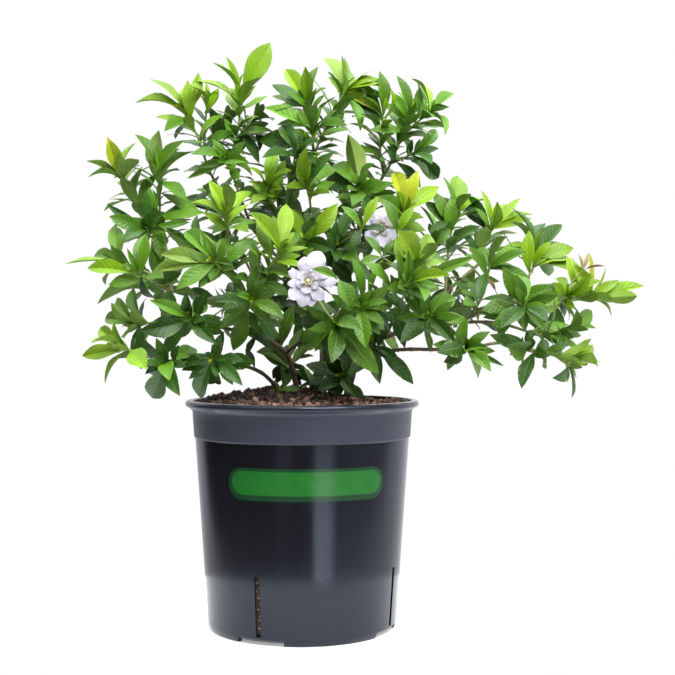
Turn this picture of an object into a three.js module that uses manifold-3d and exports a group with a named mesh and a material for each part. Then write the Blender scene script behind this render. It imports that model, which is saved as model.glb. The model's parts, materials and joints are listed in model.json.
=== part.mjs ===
// Potted gardenia: a nursery pot with side slits, its soil, four woody stems, the leafy
// stems that grow from them, and two double white blooms on stalks. Millimetres, +Z up, the
// origin at the centre of the pot's underside, the front of the pot toward -Y.
import * as THREE from 'three';
import { mergeVertices } from 'three/addons/utils/BufferGeometryUtils.js';
import Module from 'manifold-3d';

const wasm = await Module();
wasm.setup();

// ---------------------------------------------------------------- driving dimensions (mm)
const GAP = 0.3;                       // clearance between pieces that touch
const MERGE = 0.12;                    // how far a joined solid may be smoothed to drop small faces
const POT = {
  height: 241, wall: 2, sides: 32,
  lipRadius: 125, lipBore: 117, lipRoll: 3.5,
  bandTop: 117.5, bandTopZ: 231.5, bandFoot: 115.6, bandFootZ: 203.8,
  bodyTop: 114.3, bodyTopZ: 201.6, innerStep: 4,
  heelRadius: 100.6, heelZ: 6, heelBevel: 3, footRadius: 98.5, footWidth: 5, footBevel: 1,
  plateZ: 4, padRadius: 30, padBevel: 2,
  slits: 4, slitFirst: -114.2, slitWidth: 5.5, slitLow: 8, slitHigh: 69, slitDepth: 30,
  notchWidth: 51, notchHeight: 3.4, notchDepth: 18,
};
const SOIL = {
  level: 237, rings: 5, sectors: 26, brim: 3.6, sideGap: 1, holeDepth: 24, holeGap: 0.75, holeSides: 7,
  mound: { height: 14, x: -22, y: 30, spreadX: 60, spreadY: 54 },
  dip: { height: -2, x: 70, y: 60, spreadX: 42, spreadY: 55 },
};
const WOOD = { sides: 5, step: 32 };
const STEM = {
  root: 1.75, tip: 1.1, sides: 3, step: 26, bud: 3, guard: 0.1,
  endLift: 4, sideLift: 14, halvings: 12, lead: 6, seatSlack: 0.02,
  pushes: [0, 9, -9, 18, -18, 27, -27, 36, -36],   // bends tried in depth, to pass other stems
};
const STALK = { root: 1.5, tip: 1.4, sides: 5, step: 16, straight: 6 };
const LEAF = {
  thick: 0.75, grown: [42, 58], young: [30, 44], stations: [0.3, 0.66],
  slender: 0.35, broad: 0.42, narrow: 0.2, widthDraw: 0.08, arch: 0.05, archMore: 0.09,
  shown: 0.3, shownBroad: 0.75, level: 0.3, twist: 0.5, clear: 0.34, ownFoot: 0.08,
  feet: [1.5, 16, 31, 46, 61], footStep: 2.1, footTurns: 6, lowest: 14, stretch: 1.08, leastDeep: 0.12,
  depths: [1, 0.7, -1, 0.35, -0.7, 0, -0.35, 1.2, -1.2, 0.5, -0.5],   // shares of the depth, tried in turn
};
const PAIR = {
  fewest: 4, first: 18, step: 15, shift: 2, lowest: 8, apart: 15,
  lean: 38, leanMore: 34, leanRate: 0.8, leanDraw: 12, sag: 0.12,
  ways: [[0, 0, 1], [0.3, 0, 1], [-0.3, 0, 1], [0, -0.25, 1], [0, 0.25, 1], [0.6, 0, 0.9], [-0.6, 0, 0.9]],
};
const BLOOM = {
  cupBack: 6, cupFront: 3, cupRoot: 1.6, cupRim: 3.8, cupSides: 7, seat: 5, foot: 2.2,
  thick: 0.9, arch: 0.1, archDraw: 0.04, layBack: 0.35,
  outerFeet: [-1.6, 0.4], outerRise: 3.5, riseDraw: 2.5, outerHalf: 0.34, outerStations: [0.36, 0.66, 0.88],
  innerFoot: 2.1, innerReach: 13, innerReachDraw: 2.6, innerRise: 8.5, innerRiseDraw: 2,
  innerHalf: 5.2, innerStations: [0.42, 0.78], innerTurn: 0.35, innerTurnDraw: 0.25,
  eyeFrom: 3.4, eyeTo: 7.4, eyeRoot: 1.5, eyeTip: 1.8, eyeSides: 5, eyePoint: 2.2,
  stamens: 3, stamenFrom: [4.8, 0.6], stamenTo: [8.2, 3.6], stamenRadius: 0.8, stamenTip: 0.7,
};
// The front view that fixes the crown's layout: a sheet of 675 units whose centre looks level
// along +Y from EYE, with SHEET.scale units to a slope of one.
const EYE = [37.55, -1319, 307.6];
const SHEET = { centre: 337.5, scale: 1229 };

// ---------------------------------------------------------------- the crown's layout
// Every point is [across, down, depth]: across and down on the front sheet, and depth in mm
// behind the pot's axis.
// Woody branches: name, the woody stem that they are part of, radius at the root and at the
// end, and points from the root to the end. The first of each woody stem stands in the soil.
const BRANCHES = [
  ['A', 'woody_stem_front', 3.1, 1.9,
    [[299, 404, 8], [296, 385, 6], [293, 372, 0], [286, 353, -10], [262, 335, -30], [250, 318, -38],
     [240, 300, -45], [230, 262, -45], [228, 236, -42]]],
  ['F', 'woody_stem_front', 2.0, 1.5,
    [[262, 335, -30], [225, 328, -46], [196, 319, -50], [178, 309, -44], [171, 288, -22], [166, 250, 14]]],
  ['J', 'woody_stem_front', 1.9, 1.4,
    [[286, 353, -10], [305, 338, -48], [330, 321, -78], [352, 309, -90]]],
  ['C', 'woody_stem_centre', 3.4, 1.8,
    [[319, 400, 24], [320, 382, 28], [322, 350, 42], [313, 312, 55], [300, 268, 60], [290, 225, 54],
     [292, 198, 50]]],
  ['D', 'woody_stem_centre', 2.0, 1.5,
    [[306, 288, 58], [262, 240, 72], [234, 206, 70]]],
  ['I', 'woody_stem_centre', 2.4, 1.6,
    [[322, 350, 42], [344, 292, 78], [364, 234, 86], [370, 203, 80]]],
  ['R', 'woody_stem_centre', 2.0, 1.4,
    [[318, 330, 48], [292, 312, 96], [262, 292, 122], [246, 262, 136]]],
  ['B', 'woody_stem_right', 3.5, 1.8,
    [[347, 396, 16], [351, 380, 14], [358, 361, 10], [369, 345, 5], [400, 332, -10], [445, 325, -25],
     [470, 317, -30], [505, 299, -30], [545, 300, -26]]],
  ['H', 'woody_stem_right', 1.8, 1.3,
    [[455, 322, -27], [498, 323, -60], [532, 333, -70]]],
  ['K', 'woody_stem_right', 2.0, 1.4,
    [[425, 328, -18], [436, 304, 16], [460, 280, 44], [474, 268, 54]]],
  ['L', 'woody_stem_right', 1.8, 1.3,
    [[505, 299, -30], [524, 285, 0], [531, 272, 20]]],
  ['N', 'woody_stem_right', 2.0, 1.4,
    [[369, 345, 5], [392, 312, 70], [412, 286, 112]]],
  ['E', 'woody_stem_left', 2.3, 1.3,
    [[279, 400, -2], [276, 386, -5], [262, 373, -20], [245, 366, -36], [215, 360, -70],
     [166, 361, -93], [140, 354, -98]]],
  ['G', 'woody_stem_right', 2.3, 1.4,
    [[358, 363, 10], [366, 359, -4], [379, 355, -25], [396, 350, -45], [465, 349, -79],
     [500, 343, -90], [528, 350, -95]]],
];

// Leafy stems: name, what it grows from (a branch, or another leafy stem that it forks from),
// its greens, its points from the root to the tip, and the tips of the leaves that are placed
// one by one: [across, down, kind]. In a kind, b is broad and seen flat, n is narrow, and the
// capital is the leaf's own colour: L lime, Y yellow, G green, D dark, P pale beneath.
const LEAFY_STEMS = [
  ['crown_left', 'D', 'L',
    [[234, 206, 70], [213, 178, 65], [204, 156, 60], [196, 133, 50], [186, 112, 42]],
    [[135, 101, 'L'], [150, 79, 'L'], [188, 86, 'L'], [164, 132, 'bG'], [176, 140, 'D']]],
  ['crown_left_b', 'crown_left', 'L',
    [[204, 156, 60], [205, 128, 62], [207, 106, 54]],
    [[190, 84, 'L'], [200, 88, 'Y'], [206, 82, 'nL'], [219, 88, 'L']]],
  ['crown_left_c', 'crown_left', 'D',
    [[204, 156, 60], [216, 138, 78], [220, 126, 84]],
    [[232, 108, 'D'], [205, 112, 'D']]],
  ['crown_peak', 'D', 'L',
    [[252, 229, 71], [240, 196, 56], [231, 162, 54], [238, 130, 50], [241, 96, 43]],
    [[270, 43, 'bL'], [212, 63, 'L'], [198, 79, 'L'], [226, 57, 'nL'], [236, 61, 'nL'], [262, 76, 'L']]],
  ['crown_peak_b', 'crown_peak', 'D',
    [[235, 140, 53], [246, 128, 62], [253, 120, 68]],
    [[259, 98, 'nD'], [264, 104, 'nD'], [272, 122, 'D']]],
  ['crown_peak_c', 'crown_peak', 'G',
    [[234, 176, 55], [230, 166, 38], [226, 160, 24]],
    [[190, 155, 'G'], [249, 162, 'G'], [252, 176, 'G'], [187, 179, 'nG']]],
  ['crown_top', 'C', 'L',
    [[292, 198, 50], [305, 175, 50], [320, 140, 55], [335, 110, 60], [345, 90, 60]],
    [[325, 56, 'L'], [341, 55, 'nL'], [345, 57, 'nL'], [327, 72, 'G'], [350, 70, 'G'], [374, 68, 'L'],
     [376, 82, 'G']]],
  ['crown_top_b', 'crown_top', 'G',
    [[322, 136, 56], [313, 118, 46], [306, 102, 40]],
    [[286, 70, 'L'], [305, 66, 'L'], [318, 66, 'G'], [327, 88, 'G'], [272, 84, 'D']]],
  ['crown_top_c', 'crown_top', 'G',
    [[314, 155, 52], [313, 140, 32], [313, 128, 20]],
    [[264, 107, 'G'], [308, 106, 'G'], [258, 140, 'bD'], [347, 125, 'G']]],
  ['upper_right', 'I', 'G',
    [[370, 203, 80], [390, 165, 70], [400, 140, 65], [411, 115, 58]],
    [[417, 82, 'G'], [429, 88, 'G'], [398, 92, 'G']]],
  ['upper_right_b', 'upper_right', 'L',
    [[385, 176, 72], [380, 150, 66], [382, 132, 64], [383, 114, 62]],
    [[337, 90, 'Y'], [379, 77, 'L'], [391, 88, 'L'], [352, 118, 'D']]],
  ['upper_right_c', 'upper_right', 'G',
    [[402, 136, 64], [420, 120, 55], [432, 111, 50]],
    [[454, 92, 'G'], [412, 78, 'L'], [446, 134, 'G']]],
  ['upper_right_d', 'upper_right', 'D',
    [[391, 163, 70], [404, 158, 54], [414, 152, 40]],
    [[437, 130, 'G'], [432, 164, 'D'], [439, 178, 'bD'], [400, 137, 'G']]],
  ['head_left', 'C', 'D',
    [[297, 255, 58], [286, 215, 24], [290, 175, 4], [297, 152, 0]],
    [[282, 126, 'bD'], [320, 140, 'bD'], [262, 158, 'D'], [316, 164, 'D']]],
  ['mid_left_back', 'C', 'L',
    [[290, 225, 54], [274, 206, 18], [266, 188, -12]],
    [[275, 150, 'L'], [248, 168, 'L'], [291, 170, 'L'], [240, 196, 'G']]],
  ['head_right', 'C', 'L',
    [[294, 240, 56], [310, 212, 16], [306, 184, -22]],
    [[306, 147, 'L'], [318, 152, 'L'], [334, 152, 'D'], [333, 168, 'G'], [330, 188, 'G']]],
  ['right_back', 'I', 'G',
    [[368, 212, 82], [364, 200, 46], [358, 187, 12]],
    [[334, 163, 'G'], [326, 180, 'bD'], [373, 163, 'G'], [348, 134, 'bP'], [384, 182, 'G']]],
  ['shoulder', 'I', 'L',
    [[364, 234, 86], [390, 226, 50], [405, 210, 12]],
    [[395, 172, 'Y'], [418, 170, 'Y'], [439, 186, 'L'], [380, 196, 'G']]],
  ['shoulder_right', 'K', 'L',
    [[446, 293, 28], [448, 252, 42], [455, 213, 44]],
    [[457, 175, 'bL'], [471, 193, 'L'], [484, 199, 'L'], [436, 198, 'G'], [430, 232, 'D']]],
  ['right_high', 'K', 'L',
    [[474, 268, 54], [484, 248, 60], [492, 228, 62]],
    [[482, 190, 'nL'], [497, 201, 'bL'], [506, 203, 'L'], [520, 198, 'nL'], [476, 207, 'G'],
     [468, 236, 'D']]],
  ['right_tip', 'L', 'G',
    [[531, 272, 20], [534, 262, 28], [535, 250, 32]],
    [[512, 208, 'D'], [510, 222, 'G'], [543, 222, 'D'], [562, 224, 'D'], [569, 247, 'G'],
     [553, 270, 'bG'], [501, 254, 'G']]],
  ['far_right', 'B', 'L',
    [[545, 300, -26], [572, 300, -24], [597, 298, -22]],
    [[644, 287, 'L'], [638, 296, 'L'], [612, 316, 'nG'], [579, 255, 'nY'], [589, 253, 'nY'],
     [606, 267, 'nY']]],
  ['far_right_b', 'far_right', 'L',
    [[560, 300, -25], [564, 299, -40], [567, 297, -52]],
    [[591, 274, 'bL'], [556, 279, 'L'], [548, 290, 'G']]],
  ['right_low', 'H', 'G',
    [[532, 333, -70], [552, 332, -75], [569, 329, -78]],
    [[577, 311, 'G'], [593, 311, 'bG'], [596, 329, 'G'], [532, 322, 'D'], [556, 352, 'D']]],
  ['low_right_tip', 'G', 'L',
    [[528, 350, -95], [552, 355, -96], [572, 361, -96]],
    [[594, 357, 'bL'], [597, 367, 'L'], [572, 398, 'D'], [552, 378, 'D']]],
  ['low_right_tip_b', 'low_right_tip', 'D',
    [[540, 353, -96], [534, 350, -108], [526, 346, -118]],
    [[525, 366, 'D'], [508, 346, 'bG'], [540, 328, 'G']]],
  ['low_right', 'G', 'G',
    [[452, 349, -72], [462, 350, -94], [468, 351, -112]],
    [[491, 372, 'G'], [477, 378, 'G'], [487, 347, 'G'], [504, 366, 'nD'], [438, 352, 'D']]],
  ['right_mid', 'B', 'G',
    [[470, 317, -30], [484, 292, -42], [490, 264, -50]],
    [[508, 236, 'G'], [521, 249, 'G'], [470, 251, 'G'], [478, 300, 'D']]],
  ['front_right', 'J', 'L',
    [[352, 309, -90], [378, 296, -97], [400, 284, -100], [418, 264, -102]],
    [[397, 229, 'bL'], [431, 234, 'L'], [438, 243, 'L'], [446, 262, 'G'], [386, 252, 'D']]],
  ['front_right_b', 'front_right', 'G',
    [[384, 293, -98], [400, 287, -114], [412, 284, -128]],
    [[449, 274, 'L'], [424, 302, 'G'], [380, 262, 'G'], [476, 256, 'nG'], [398, 316, 'D']]],
  ['under_bloom', 'J', 'G',
    [[330, 321, -78], [334, 322, -100], [337, 325, -122]],
    [[303, 346, 'bG'], [331, 364, 'bG'], [379, 374, 'G'], [362, 330, 'G'], [300, 322, 'D']]],
  ['beside_bloom', 'J', 'G',
    [[348, 311, -88], [355, 309, -110], [360, 307, -132]],
    [[366, 348, 'bG'], [342, 288, 'bD'], [392, 306, 'G'], [388, 332, 'D']]],
  ['left_high', 'F', 'G',
    [[166, 250, 14], [160, 220, 36], [160, 192, 46], [159, 174, 50]],
    [[134, 135, 'G'], [158, 131, 'bP'], [180, 149, 'G'], [195, 152, 'G'], [187, 202, 'G']]],
  ['left_high_b', 'left_high', 'L',
    [[161, 228, 30], [140, 214, 46], [134, 198, 64], [126, 187, 72], [119, 173, 76]],
    [[107, 137, 'bY'], [135, 142, 'L'], [86, 162, 'L'], [88, 176, 'G'], [136, 157, 'P']]],
  ['left_high_c', 'left_high', 'G',
    [[161, 226, 30], [152, 226, 8], [146, 230, -8]],
    [[109, 216, 'bG'], [123, 241, 'D'], [106, 204, 'nD'], [163, 212, 'D'], [190, 222, 'nG'],
     [146, 190, 'D']]],
  ['left', 'F', 'G',
    [[170, 284, -18], [142, 270, -22], [118, 261, -28]],
    [[115, 225, 'bG'], [65, 265, 'L'], [93, 254, 'G'], [104, 284, 'D']]],
  ['left_front', 'F', 'G',
    [[172, 291, -26], [152, 282, -56], [136, 273, -80]],
    [[88, 269, 'L'], [146, 234, 'G'], [127, 248, 'nG'], [158, 300, 'D']]],
  ['left_under', 'F', 'D',
    [[172, 292, -26], [162, 288, 20], [150, 284, 52]],
    [[97, 302, 'G'], [138, 252, 'D'], [114, 290, 'D']]],
  ['left_low', 'F', 'G',
    [[188, 315, -48], [158, 322, -58], [134, 324, -66]],
    [[110, 303, 'G'], [118, 298, 'G'], [104, 318, 'G'], [134, 288, 'G'], [147, 298, 'D']]],
  ['low_left_tip', 'E', 'L',
    [[140, 354, -98], [130, 350, -100], [121, 347, -102]],
    [[100, 328, 'L'], [91, 344, 'L'], [82, 356, 'bL'], [105, 384, 'L'], [146, 368, 'bL']]],
  ['low_left', 'E', 'D',
    [[178, 361, -88], [170, 363, -104], [165, 364, -118]],
    [[153, 398, 'bD'], [158, 378, 'G'], [170, 382, 'G'], [180, 396, 'D'], [196, 350, 'G']]],
  ['front_left_low', 'F', 'D',
    [[200, 320, -49], [195, 320, -76], [190, 319, -102]],
    [[139, 331, 'bD'], [162, 356, 'D'], [150, 300, 'G'], [216, 344, 'D'], [205, 296, 'G']]],
  ['rim_left', 'E', 'D',
    [[222, 361, -62], [217, 359, -86], [213, 358, -108]],
    [[184, 366, 'D'], [199, 399, 'D'], [215, 385, 'D'], [243, 386, 'D']]],
  ['left_mid', 'A', 'L',
    [[228, 236, -42], [228, 228, -46], [228, 216, -52]],
    [[226, 182, 'L'], [252, 190, 'L'], [190, 202, 'L'], [209, 180, 'L'], [258, 222, 'G']]],
  ['centre_left', 'A', 'L',
    [[240, 300, -45], [262, 275, -66], [282, 250, -80]],
    [[250, 212, 'bL'], [286, 204, 'L'], [272, 216, 'L'], [300, 232, 'G'], [256, 258, 'G']]],
  ['centre_top', 'C', 'L',
    [[298, 260, 60], [308, 250, 20], [306, 240, -24]],
    [[289, 210, 'L'], [338, 203, 'bL'], [318, 222, 'G'], [334, 250, 'D']]],
  ['front_left', 'A', 'G',
    [[234, 280, -46], [222, 270, -70], [213, 261, -92]],
    [[186, 232, 'bG'], [160, 254, 'Y'], [152, 272, 'Y'], [176, 290, 'G'], [228, 236, 'G'],
     [240, 262, 'D']]],
  ['soil_front', 'A', 'D',
    [[292, 370, -1], [288, 367, 24], [284, 362, 44]],
    [[282, 390, 'D'], [256, 352, 'D'], [312, 386, 'G']]],
  ['soil_right', 'G', 'D',
    [[379, 355, -25], [377, 349, -46], [374, 344, -64]],
    [[414, 384, 'D'], [380, 384, 'D'], [400, 362, 'D']]],
  ['foot_right', 'B', 'D',
    [[350, 384, 14], [345, 382, -8], [341, 377, -28]],
    [[357, 398, 'D'], [353, 368, 'G'], [322, 368, 'D'], [318, 390, 'D']]],
  ['front', 'A', 'G',
    [[246, 311, -41], [250, 306, -76], [252, 300, -110]],
    [[233, 351, 'bG'], [284, 318, 'G'], [214, 302, 'D'], [262, 264, 'G'], [276, 340, 'D']]],
  ['heart', 'C', 'D',
    [[302, 275, 59], [330, 258, 10], [336, 246, -30]],
    [[352, 212, 'D'], [368, 250, 'D'], [318, 284, 'D']]],
  ['right_front', 'B', 'G',
    [[420, 329, -17], [426, 322, -60], [430, 316, -98]],
    [[456, 344, 'D'], [400, 344, 'D'], [453, 296, 'G'], [418, 282, 'D'], [470, 322, 'G']]],
  ['right_fork', 'B', 'G',
    [[510, 299, -30], [520, 304, -62], [526, 308, -92]],
    [[548, 322, 'D'], [500, 328, 'D'], [520, 276, 'G'], [560, 296, 'G']]],
  ['back_left', 'R', 'G',
    [[246, 262, 136], [232, 238, 142], [222, 212, 144]],
    [[196, 190, 'G'], [240, 172, 'G'], [190, 226, 'D']]],
  ['back_left_b', 'back_left', 'G',
    [[236, 246, 140], [218, 250, 116], [200, 246, 104]],
    [[164, 226, 'G'], [172, 268, 'D'], [196, 214, 'G']]],
  ['back_low', 'R', 'D',
    [[262, 292, 122], [240, 304, 146], [224, 306, 160]],
    [[186, 290, 'D'], [232, 340, 'D']]],
  ['back_centre', 'R', 'D',
    [[282, 306, 104], [290, 270, 140], [296, 236, 154]],
    [[276, 196, 'D'], [320, 208, 'D']]],
  ['back_centre_b', 'back_centre', 'D',
    [[288, 280, 132], [308, 284, 160], [318, 280, 174]],
    [[340, 252, 'G'], [300, 318, 'D'], [352, 296, 'D']]],
  ['back_high', 'I', 'G',
    [[362, 240, 86], [348, 214, 120], [340, 188, 132]],
    [[322, 160, 'D'], [362, 156, 'G']]],
  ['back_right', 'N', 'G',
    [[412, 286, 112], [430, 262, 124], [438, 240, 128]],
    [[420, 206, 'G'], [462, 226, 'G'], [470, 262, 'D']]],
  ['back_right_b', 'back_right', 'G',
    [[426, 268, 122], [404, 256, 150], [392, 240, 162]],
    [[372, 206, 'G'], [416, 214, 'D'], [360, 250, 'D'], [410, 270, 'D']]],
  ['back_right_low', 'N', 'D',
    [[398, 305, 84], [440, 312, 112], [466, 314, 122]],
    [[506, 316, 'D'], [458, 352, 'D'], [470, 286, 'G']]],
  ['back_right_low_b', 'back_right_low', 'G',
    [[440, 312, 112], [450, 300, 136], [462, 290, 152]],
    [[500, 282, 'G'], [440, 262, 'D'], [478, 322, 'D']]],
  ['back_low_mid', 'N', 'D',
    [[388, 318, 58], [372, 326, 110], [366, 324, 140]],
    [[340, 350, 'D'], [388, 360, 'D'], [352, 290, 'D']]],
];

// How far the crown reaches at a few heights of the sheet: [down, left, right]
const REACH = [[50, 245, 275], [75, 200, 390], [100, 130, 450], [150, 98, 442], [190, 88, 485],
  [230, 92, 560], [265, 66, 600], [300, 92, 640], [340, 82, 600], [375, 104, 585], [400, 150, 575]];

// The blooms: the centre on the sheet, the way it looks, its outer petals' tips, how many
// inner petals it holds, and its stalk's leafy stem and points up to behind the cup.
const BLOOMS = {
  bloom_front: {
    centre: [308, 281, -122], face: [-0.02, -1, 0.12], inner: 5, seed: 11,
    tips: [[320, 250], [303, 256], [288, 270], [287, 284], [290, 300], [308, 306], [326, 298],
      [333, 281], [338, 267]],
    stalkFrom: 'under_bloom', stalk: [[334, 322, -98], [322, 306, -92], [311, 288, -92]],
  },
  bloom_back: {
    centre: [381, 227, -40], face: [0.1, -1, 0.3], inner: 4, seed: 12,
    tips: [[384, 202], [400, 213], [401, 236], [384, 251], [364, 240], [361, 215]],
    stalkFrom: 'shoulder', stalk: [[392, 225, 46], [388, 230, 24], [383, 228, -4]],
  },
};

// ---------------------------------------------------------------- small vector tools
const add = (a, b) => [a[0] + b[0], a[1] + b[1], a[2] + b[2]];
const sub = (a, b) => [a[0] - b[0], a[1] - b[1], a[2] - b[2]];
const mul = (a, k) => [a[0] * k, a[1] * k, a[2] * k];
const dot = (a, b) => a[0] * b[0] + a[1] * b[1] + a[2] * b[2];
const cross = (a, b) => [a[1] * b[2] - a[2] * b[1], a[2] * b[0] - a[0] * b[2], a[0] * b[1] - a[1] * b[0]];
const size = (a) => Math.hypot(...a);
const unit = (a) => mul(a, 1 / size(a));
const mix = (a, b, k) => add(mul(a, 1 - k), mul(b, k));
const square = (a, t) => unit(sub(a, mul(t, dot(a, t))));   // a, made square to the unit t
const around = (e1, e2, angle) => add(mul(e1, Math.cos(angle)), mul(e2, Math.sin(angle)));
const lengthOf = (path) => path.slice(1).reduce((sum, p, i) => sum + size(sub(p, path[i])), 0);
const radians = THREE.MathUtils.degToRad;

/** The place in mm of a point of the front sheet at a depth. */
function sight([across, down, depth]) {
  const m = (depth - EYE[1]) / SHEET.scale;
  return [EYE[0] + (across - SHEET.centre) * m, depth, EYE[2] - (down - SHEET.centre) * m];
}

/** The point of the front sheet at which a place in mm is seen. */
function seen(p) {
  const m = (p[1] - EYE[1]) / SHEET.scale;
  return [SHEET.centre + (p[0] - EYE[0]) / m, SHEET.centre - (p[2] - EYE[2]) / m];
}

/** Repeatable draws from 0 to 1. */
function draws(seed) {
  let state = seed >>> 0;
  return () => {
    state = (state + 0x6D2B79F5) >>> 0;
    let t = Math.imul(state ^ (state >>> 15), state | 1);
    t ^= t + Math.imul(t ^ (t >>> 7), t | 61);
    return ((t ^ (t >>> 14)) >>> 0) / 2 ** 32;
  };
}

/** A smooth path through points, with about one point every `step` mm. */
function smooth(points, step) {
  const knots = points.map((p) => new THREE.Vector3(...p));
  const curve = new THREE.CatmullRomCurve3(knots, false, 'centripetal');
  const count = Math.max(2, Math.round(curve.getLength() / step));
  return curve.getSpacedPoints(count).map((v) => v.toArray());
}

// ---------------------------------------------------------------- solids
/** A closed three.js geometry as a solid, with faces of no area left out. */
function solidOf(geometry) {
  geometry.deleteAttribute('normal');
  geometry.deleteAttribute('uv');
  const merged = mergeVertices(geometry, 1e-4);
  const index = merged.index.array;
  const faces = [];
  for (let i = 0; i < index.length; i += 3) {
    const [a, b, c] = index.slice(i, i + 3);
    if (a !== b && b !== c && c !== a) faces.push(a, b, c);
  }
  return new wasm.Manifold(new wasm.Mesh({
    numProp: 3, vertProperties: merged.attributes.position.array, triVerts: new Uint32Array(faces),
  }));
}

/** Moves each vertex of a geometry to the place that `place` gives for it. */
function bend(geometry, place) {
  const at = geometry.attributes.position;
  for (let i = 0; i < at.count; i++) at.setXYZ(i, ...place(at.getX(i), at.getY(i), at.getZ(i)));
  return geometry;
}

/** The one body of several solids joined, without any scrap or closed-off hollow. */
function fuse(solids) {
  const bodies = wasm.Manifold.union(solids).simplify(MERGE).decompose();
  return bodies.sort((a, b) => b.volume() - a.volume())[0];
}

/** A turned piece: an outline of [radius, height] from axis to axis, spun round Z. */
function turned(outline, sides) {
  const spun = new THREE.LatheGeometry(outline.map(([r, z]) => new THREE.Vector2(r, z)), sides);
  return spun.rotateX(Math.PI / 2);
}

/** A cylinder bent along a path, tapering from `root` to `tip`; `bud` draws its end to a point. */
function rod(path, { root, tip, sides, bud = 0 }, grow = 0) {
  const total = lengthOf(path);
  const last = path.length - 1;
  let side = Math.abs(unit(sub(path[1], path[0]))[2]) > 0.9 ? [1, 0, 0] : [0, 0, 1];
  let run = 0;
  const rings = path.map((p, i) => {
    const before = path[Math.max(i - 1, 0)];
    const t = unit(sub(path[Math.min(i + 1, last)], before));
    side = square(side, t);
    run += size(sub(p, before));
    return { p, e1: side, e2: cross(t, side), r: root + (tip - root) * (run / total) + grow };
  });
  const point = mul(unit(sub(path[last], path[last - 1])), bud ? bud + grow : 0);
  const straight = new THREE.CylinderGeometry(1, 1, 1, sides, last);
  return solidOf(bend(straight, (x, y, z) => {
    const { p, e1, e2, r } = rings[Math.round((y + 0.5) * last)];
    if (y > 0.49 && Math.hypot(x, z) < 0.5) return add(p, point);
    return add(p, add(mul(e1, z * r), mul(e2, x * r)));
  }));
}

/** Half width at u of the length, 1 at the widest: a leaf's, and a petal's, narrow at the foot. */
const leafOutline = (u) => Math.sin(Math.PI * u ** 1.1) ** 0.85;
const petalOutline = (u) => Math.sin(Math.PI * u ** 1.75) ** 0.7;

/**
 * A thin bar bent to an arched blade of one thickness, with rows of corners at `stations` of
 * its length, a foot as narrow as an edge and a tip that is one point. `leaf` has base, tip,
 * up, half (width), arch, thick and outline; `grow` thickens the blade all round, and `from`
 * cuts off its foot.
 */
function blade(leaf, stations = LEAF.stations, grow = 0, from = 0) {
  const span = sub(leaf.tip, leaf.base);
  const t = unit(span);
  const n = square(leaf.up, t);
  const s = cross(n, t);
  const rise = leaf.arch * size(span);
  const high = leaf.thick / 2 + grow;
  const foot = [from, from ? 0.6 * leaf.half * leaf.outline(from) + grow : 0, high];
  const rows = [foot, ...stations.map((u) => [u, leaf.half * leaf.outline(u) + grow, high]), [1, 0, 0]];
  const last = rows.length - 1;
  return solidOf(bend(new THREE.BoxGeometry(2, 2, 1, 1, 1, last), (x, y, z) => {
    const [u, w, h] = rows[Math.round((z + 0.5) * last)];
    const middle = add(leaf.base, add(mul(span, u), mul(n, rise * 4 * u * (1 - u))));
    const normal = square(n, unit(add(t, mul(n, leaf.arch * 4 * (1 - 2 * u)))));
    const beyond = mul(t, u === 1 ? grow : 0);
    return add(add(middle, beyond), add(mul(s, x * w), mul(normal, y * h)));
  }));
}

// ---------------------------------------------------------------- what is already in place
const nodes = {};                       // solids by node name, joined at the end
const lines = {};                       // centre lines by name: path, radii, node
const placed = [];                      // obstacles to what comes later

const boxOf = (m) => [m.boundingBox().min, m.boundingBox().max];
const boxesApart = ([a0, a1], [b0, b1]) => [0, 1, 2].some((i) => a1[i] < b0[i] || b1[i] < a0[i]);
const meet = (m, box, other, otherBox) => !boxesApart(box, otherBox) && !m.intersect(other).isEmpty();

/** Puts a solid into a node. `hull` is what others keep clear of, `own` what its node's blades do. */
function put(node, m, hull = m, own = null) {
  nodes[node] = [...(nodes[node] || []), m];
  placed.push({ node, hull, box: boxOf(hull), own, ownBox: own && boxOf(own) });
}

/** Whether a solid is clear of every node but those named. */
function clearOf(m, besides) {
  const box = boxOf(m);
  return !placed.some((o) => !besides.includes(o.node) && meet(m, box, o.hull, o.box));
}

/** Whether a blade without its foot is clear of its own node's blades without theirs. */
function clearOfOwn(m, node) {
  const box = boxOf(m);
  return !placed.some((o) => o.node === node && o.own && meet(m, box, o.own, o.ownBox));
}

/** The gap between a solid and a node's nearest solid, up to 5 mm. */
const gapTo = (m, node) => Math.min(...nodes[node].map((o) => m.minGap(o, 5)));

/** The place on a centre line nearest to p, the line's direction there, and whether it is the end. */
function nearest(line, p) {
  const total = lengthOf(line.path);
  let best = { away: Infinity };
  let run = 0;
  for (let i = 1; i < line.path.length; i++) {
    const a = line.path[i - 1];
    const step = sub(line.path[i], a);
    const long = size(step);
    const u = THREE.MathUtils.clamp(dot(sub(p, a), step) / long ** 2, 0, 1);
    const at = add(a, mul(step, u));
    const away = size(sub(p, at));
    if (away < best.away) best = { away, at, dir: unit(step), end: total - run - u * long < 2 };
    run += long;
  }
  return best;
}

/** The place on a stem that lies `back` mm down from its tip, and the way the stem runs there. */
function spot(line, back) {
  let i = line.path.length - 1;
  let long = size(sub(line.path[i], line.path[i - 1]));
  while (back > long && i > 1) {
    back -= long;
    i -= 1;
    long = size(sub(line.path[i], line.path[i - 1]));
  }
  const a = line.path[i];
  const b = line.path[i - 1];
  return { at: mix(a, b, Math.min(0.98, back / long)), axis: unit(sub(a, b)) };
}

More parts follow.
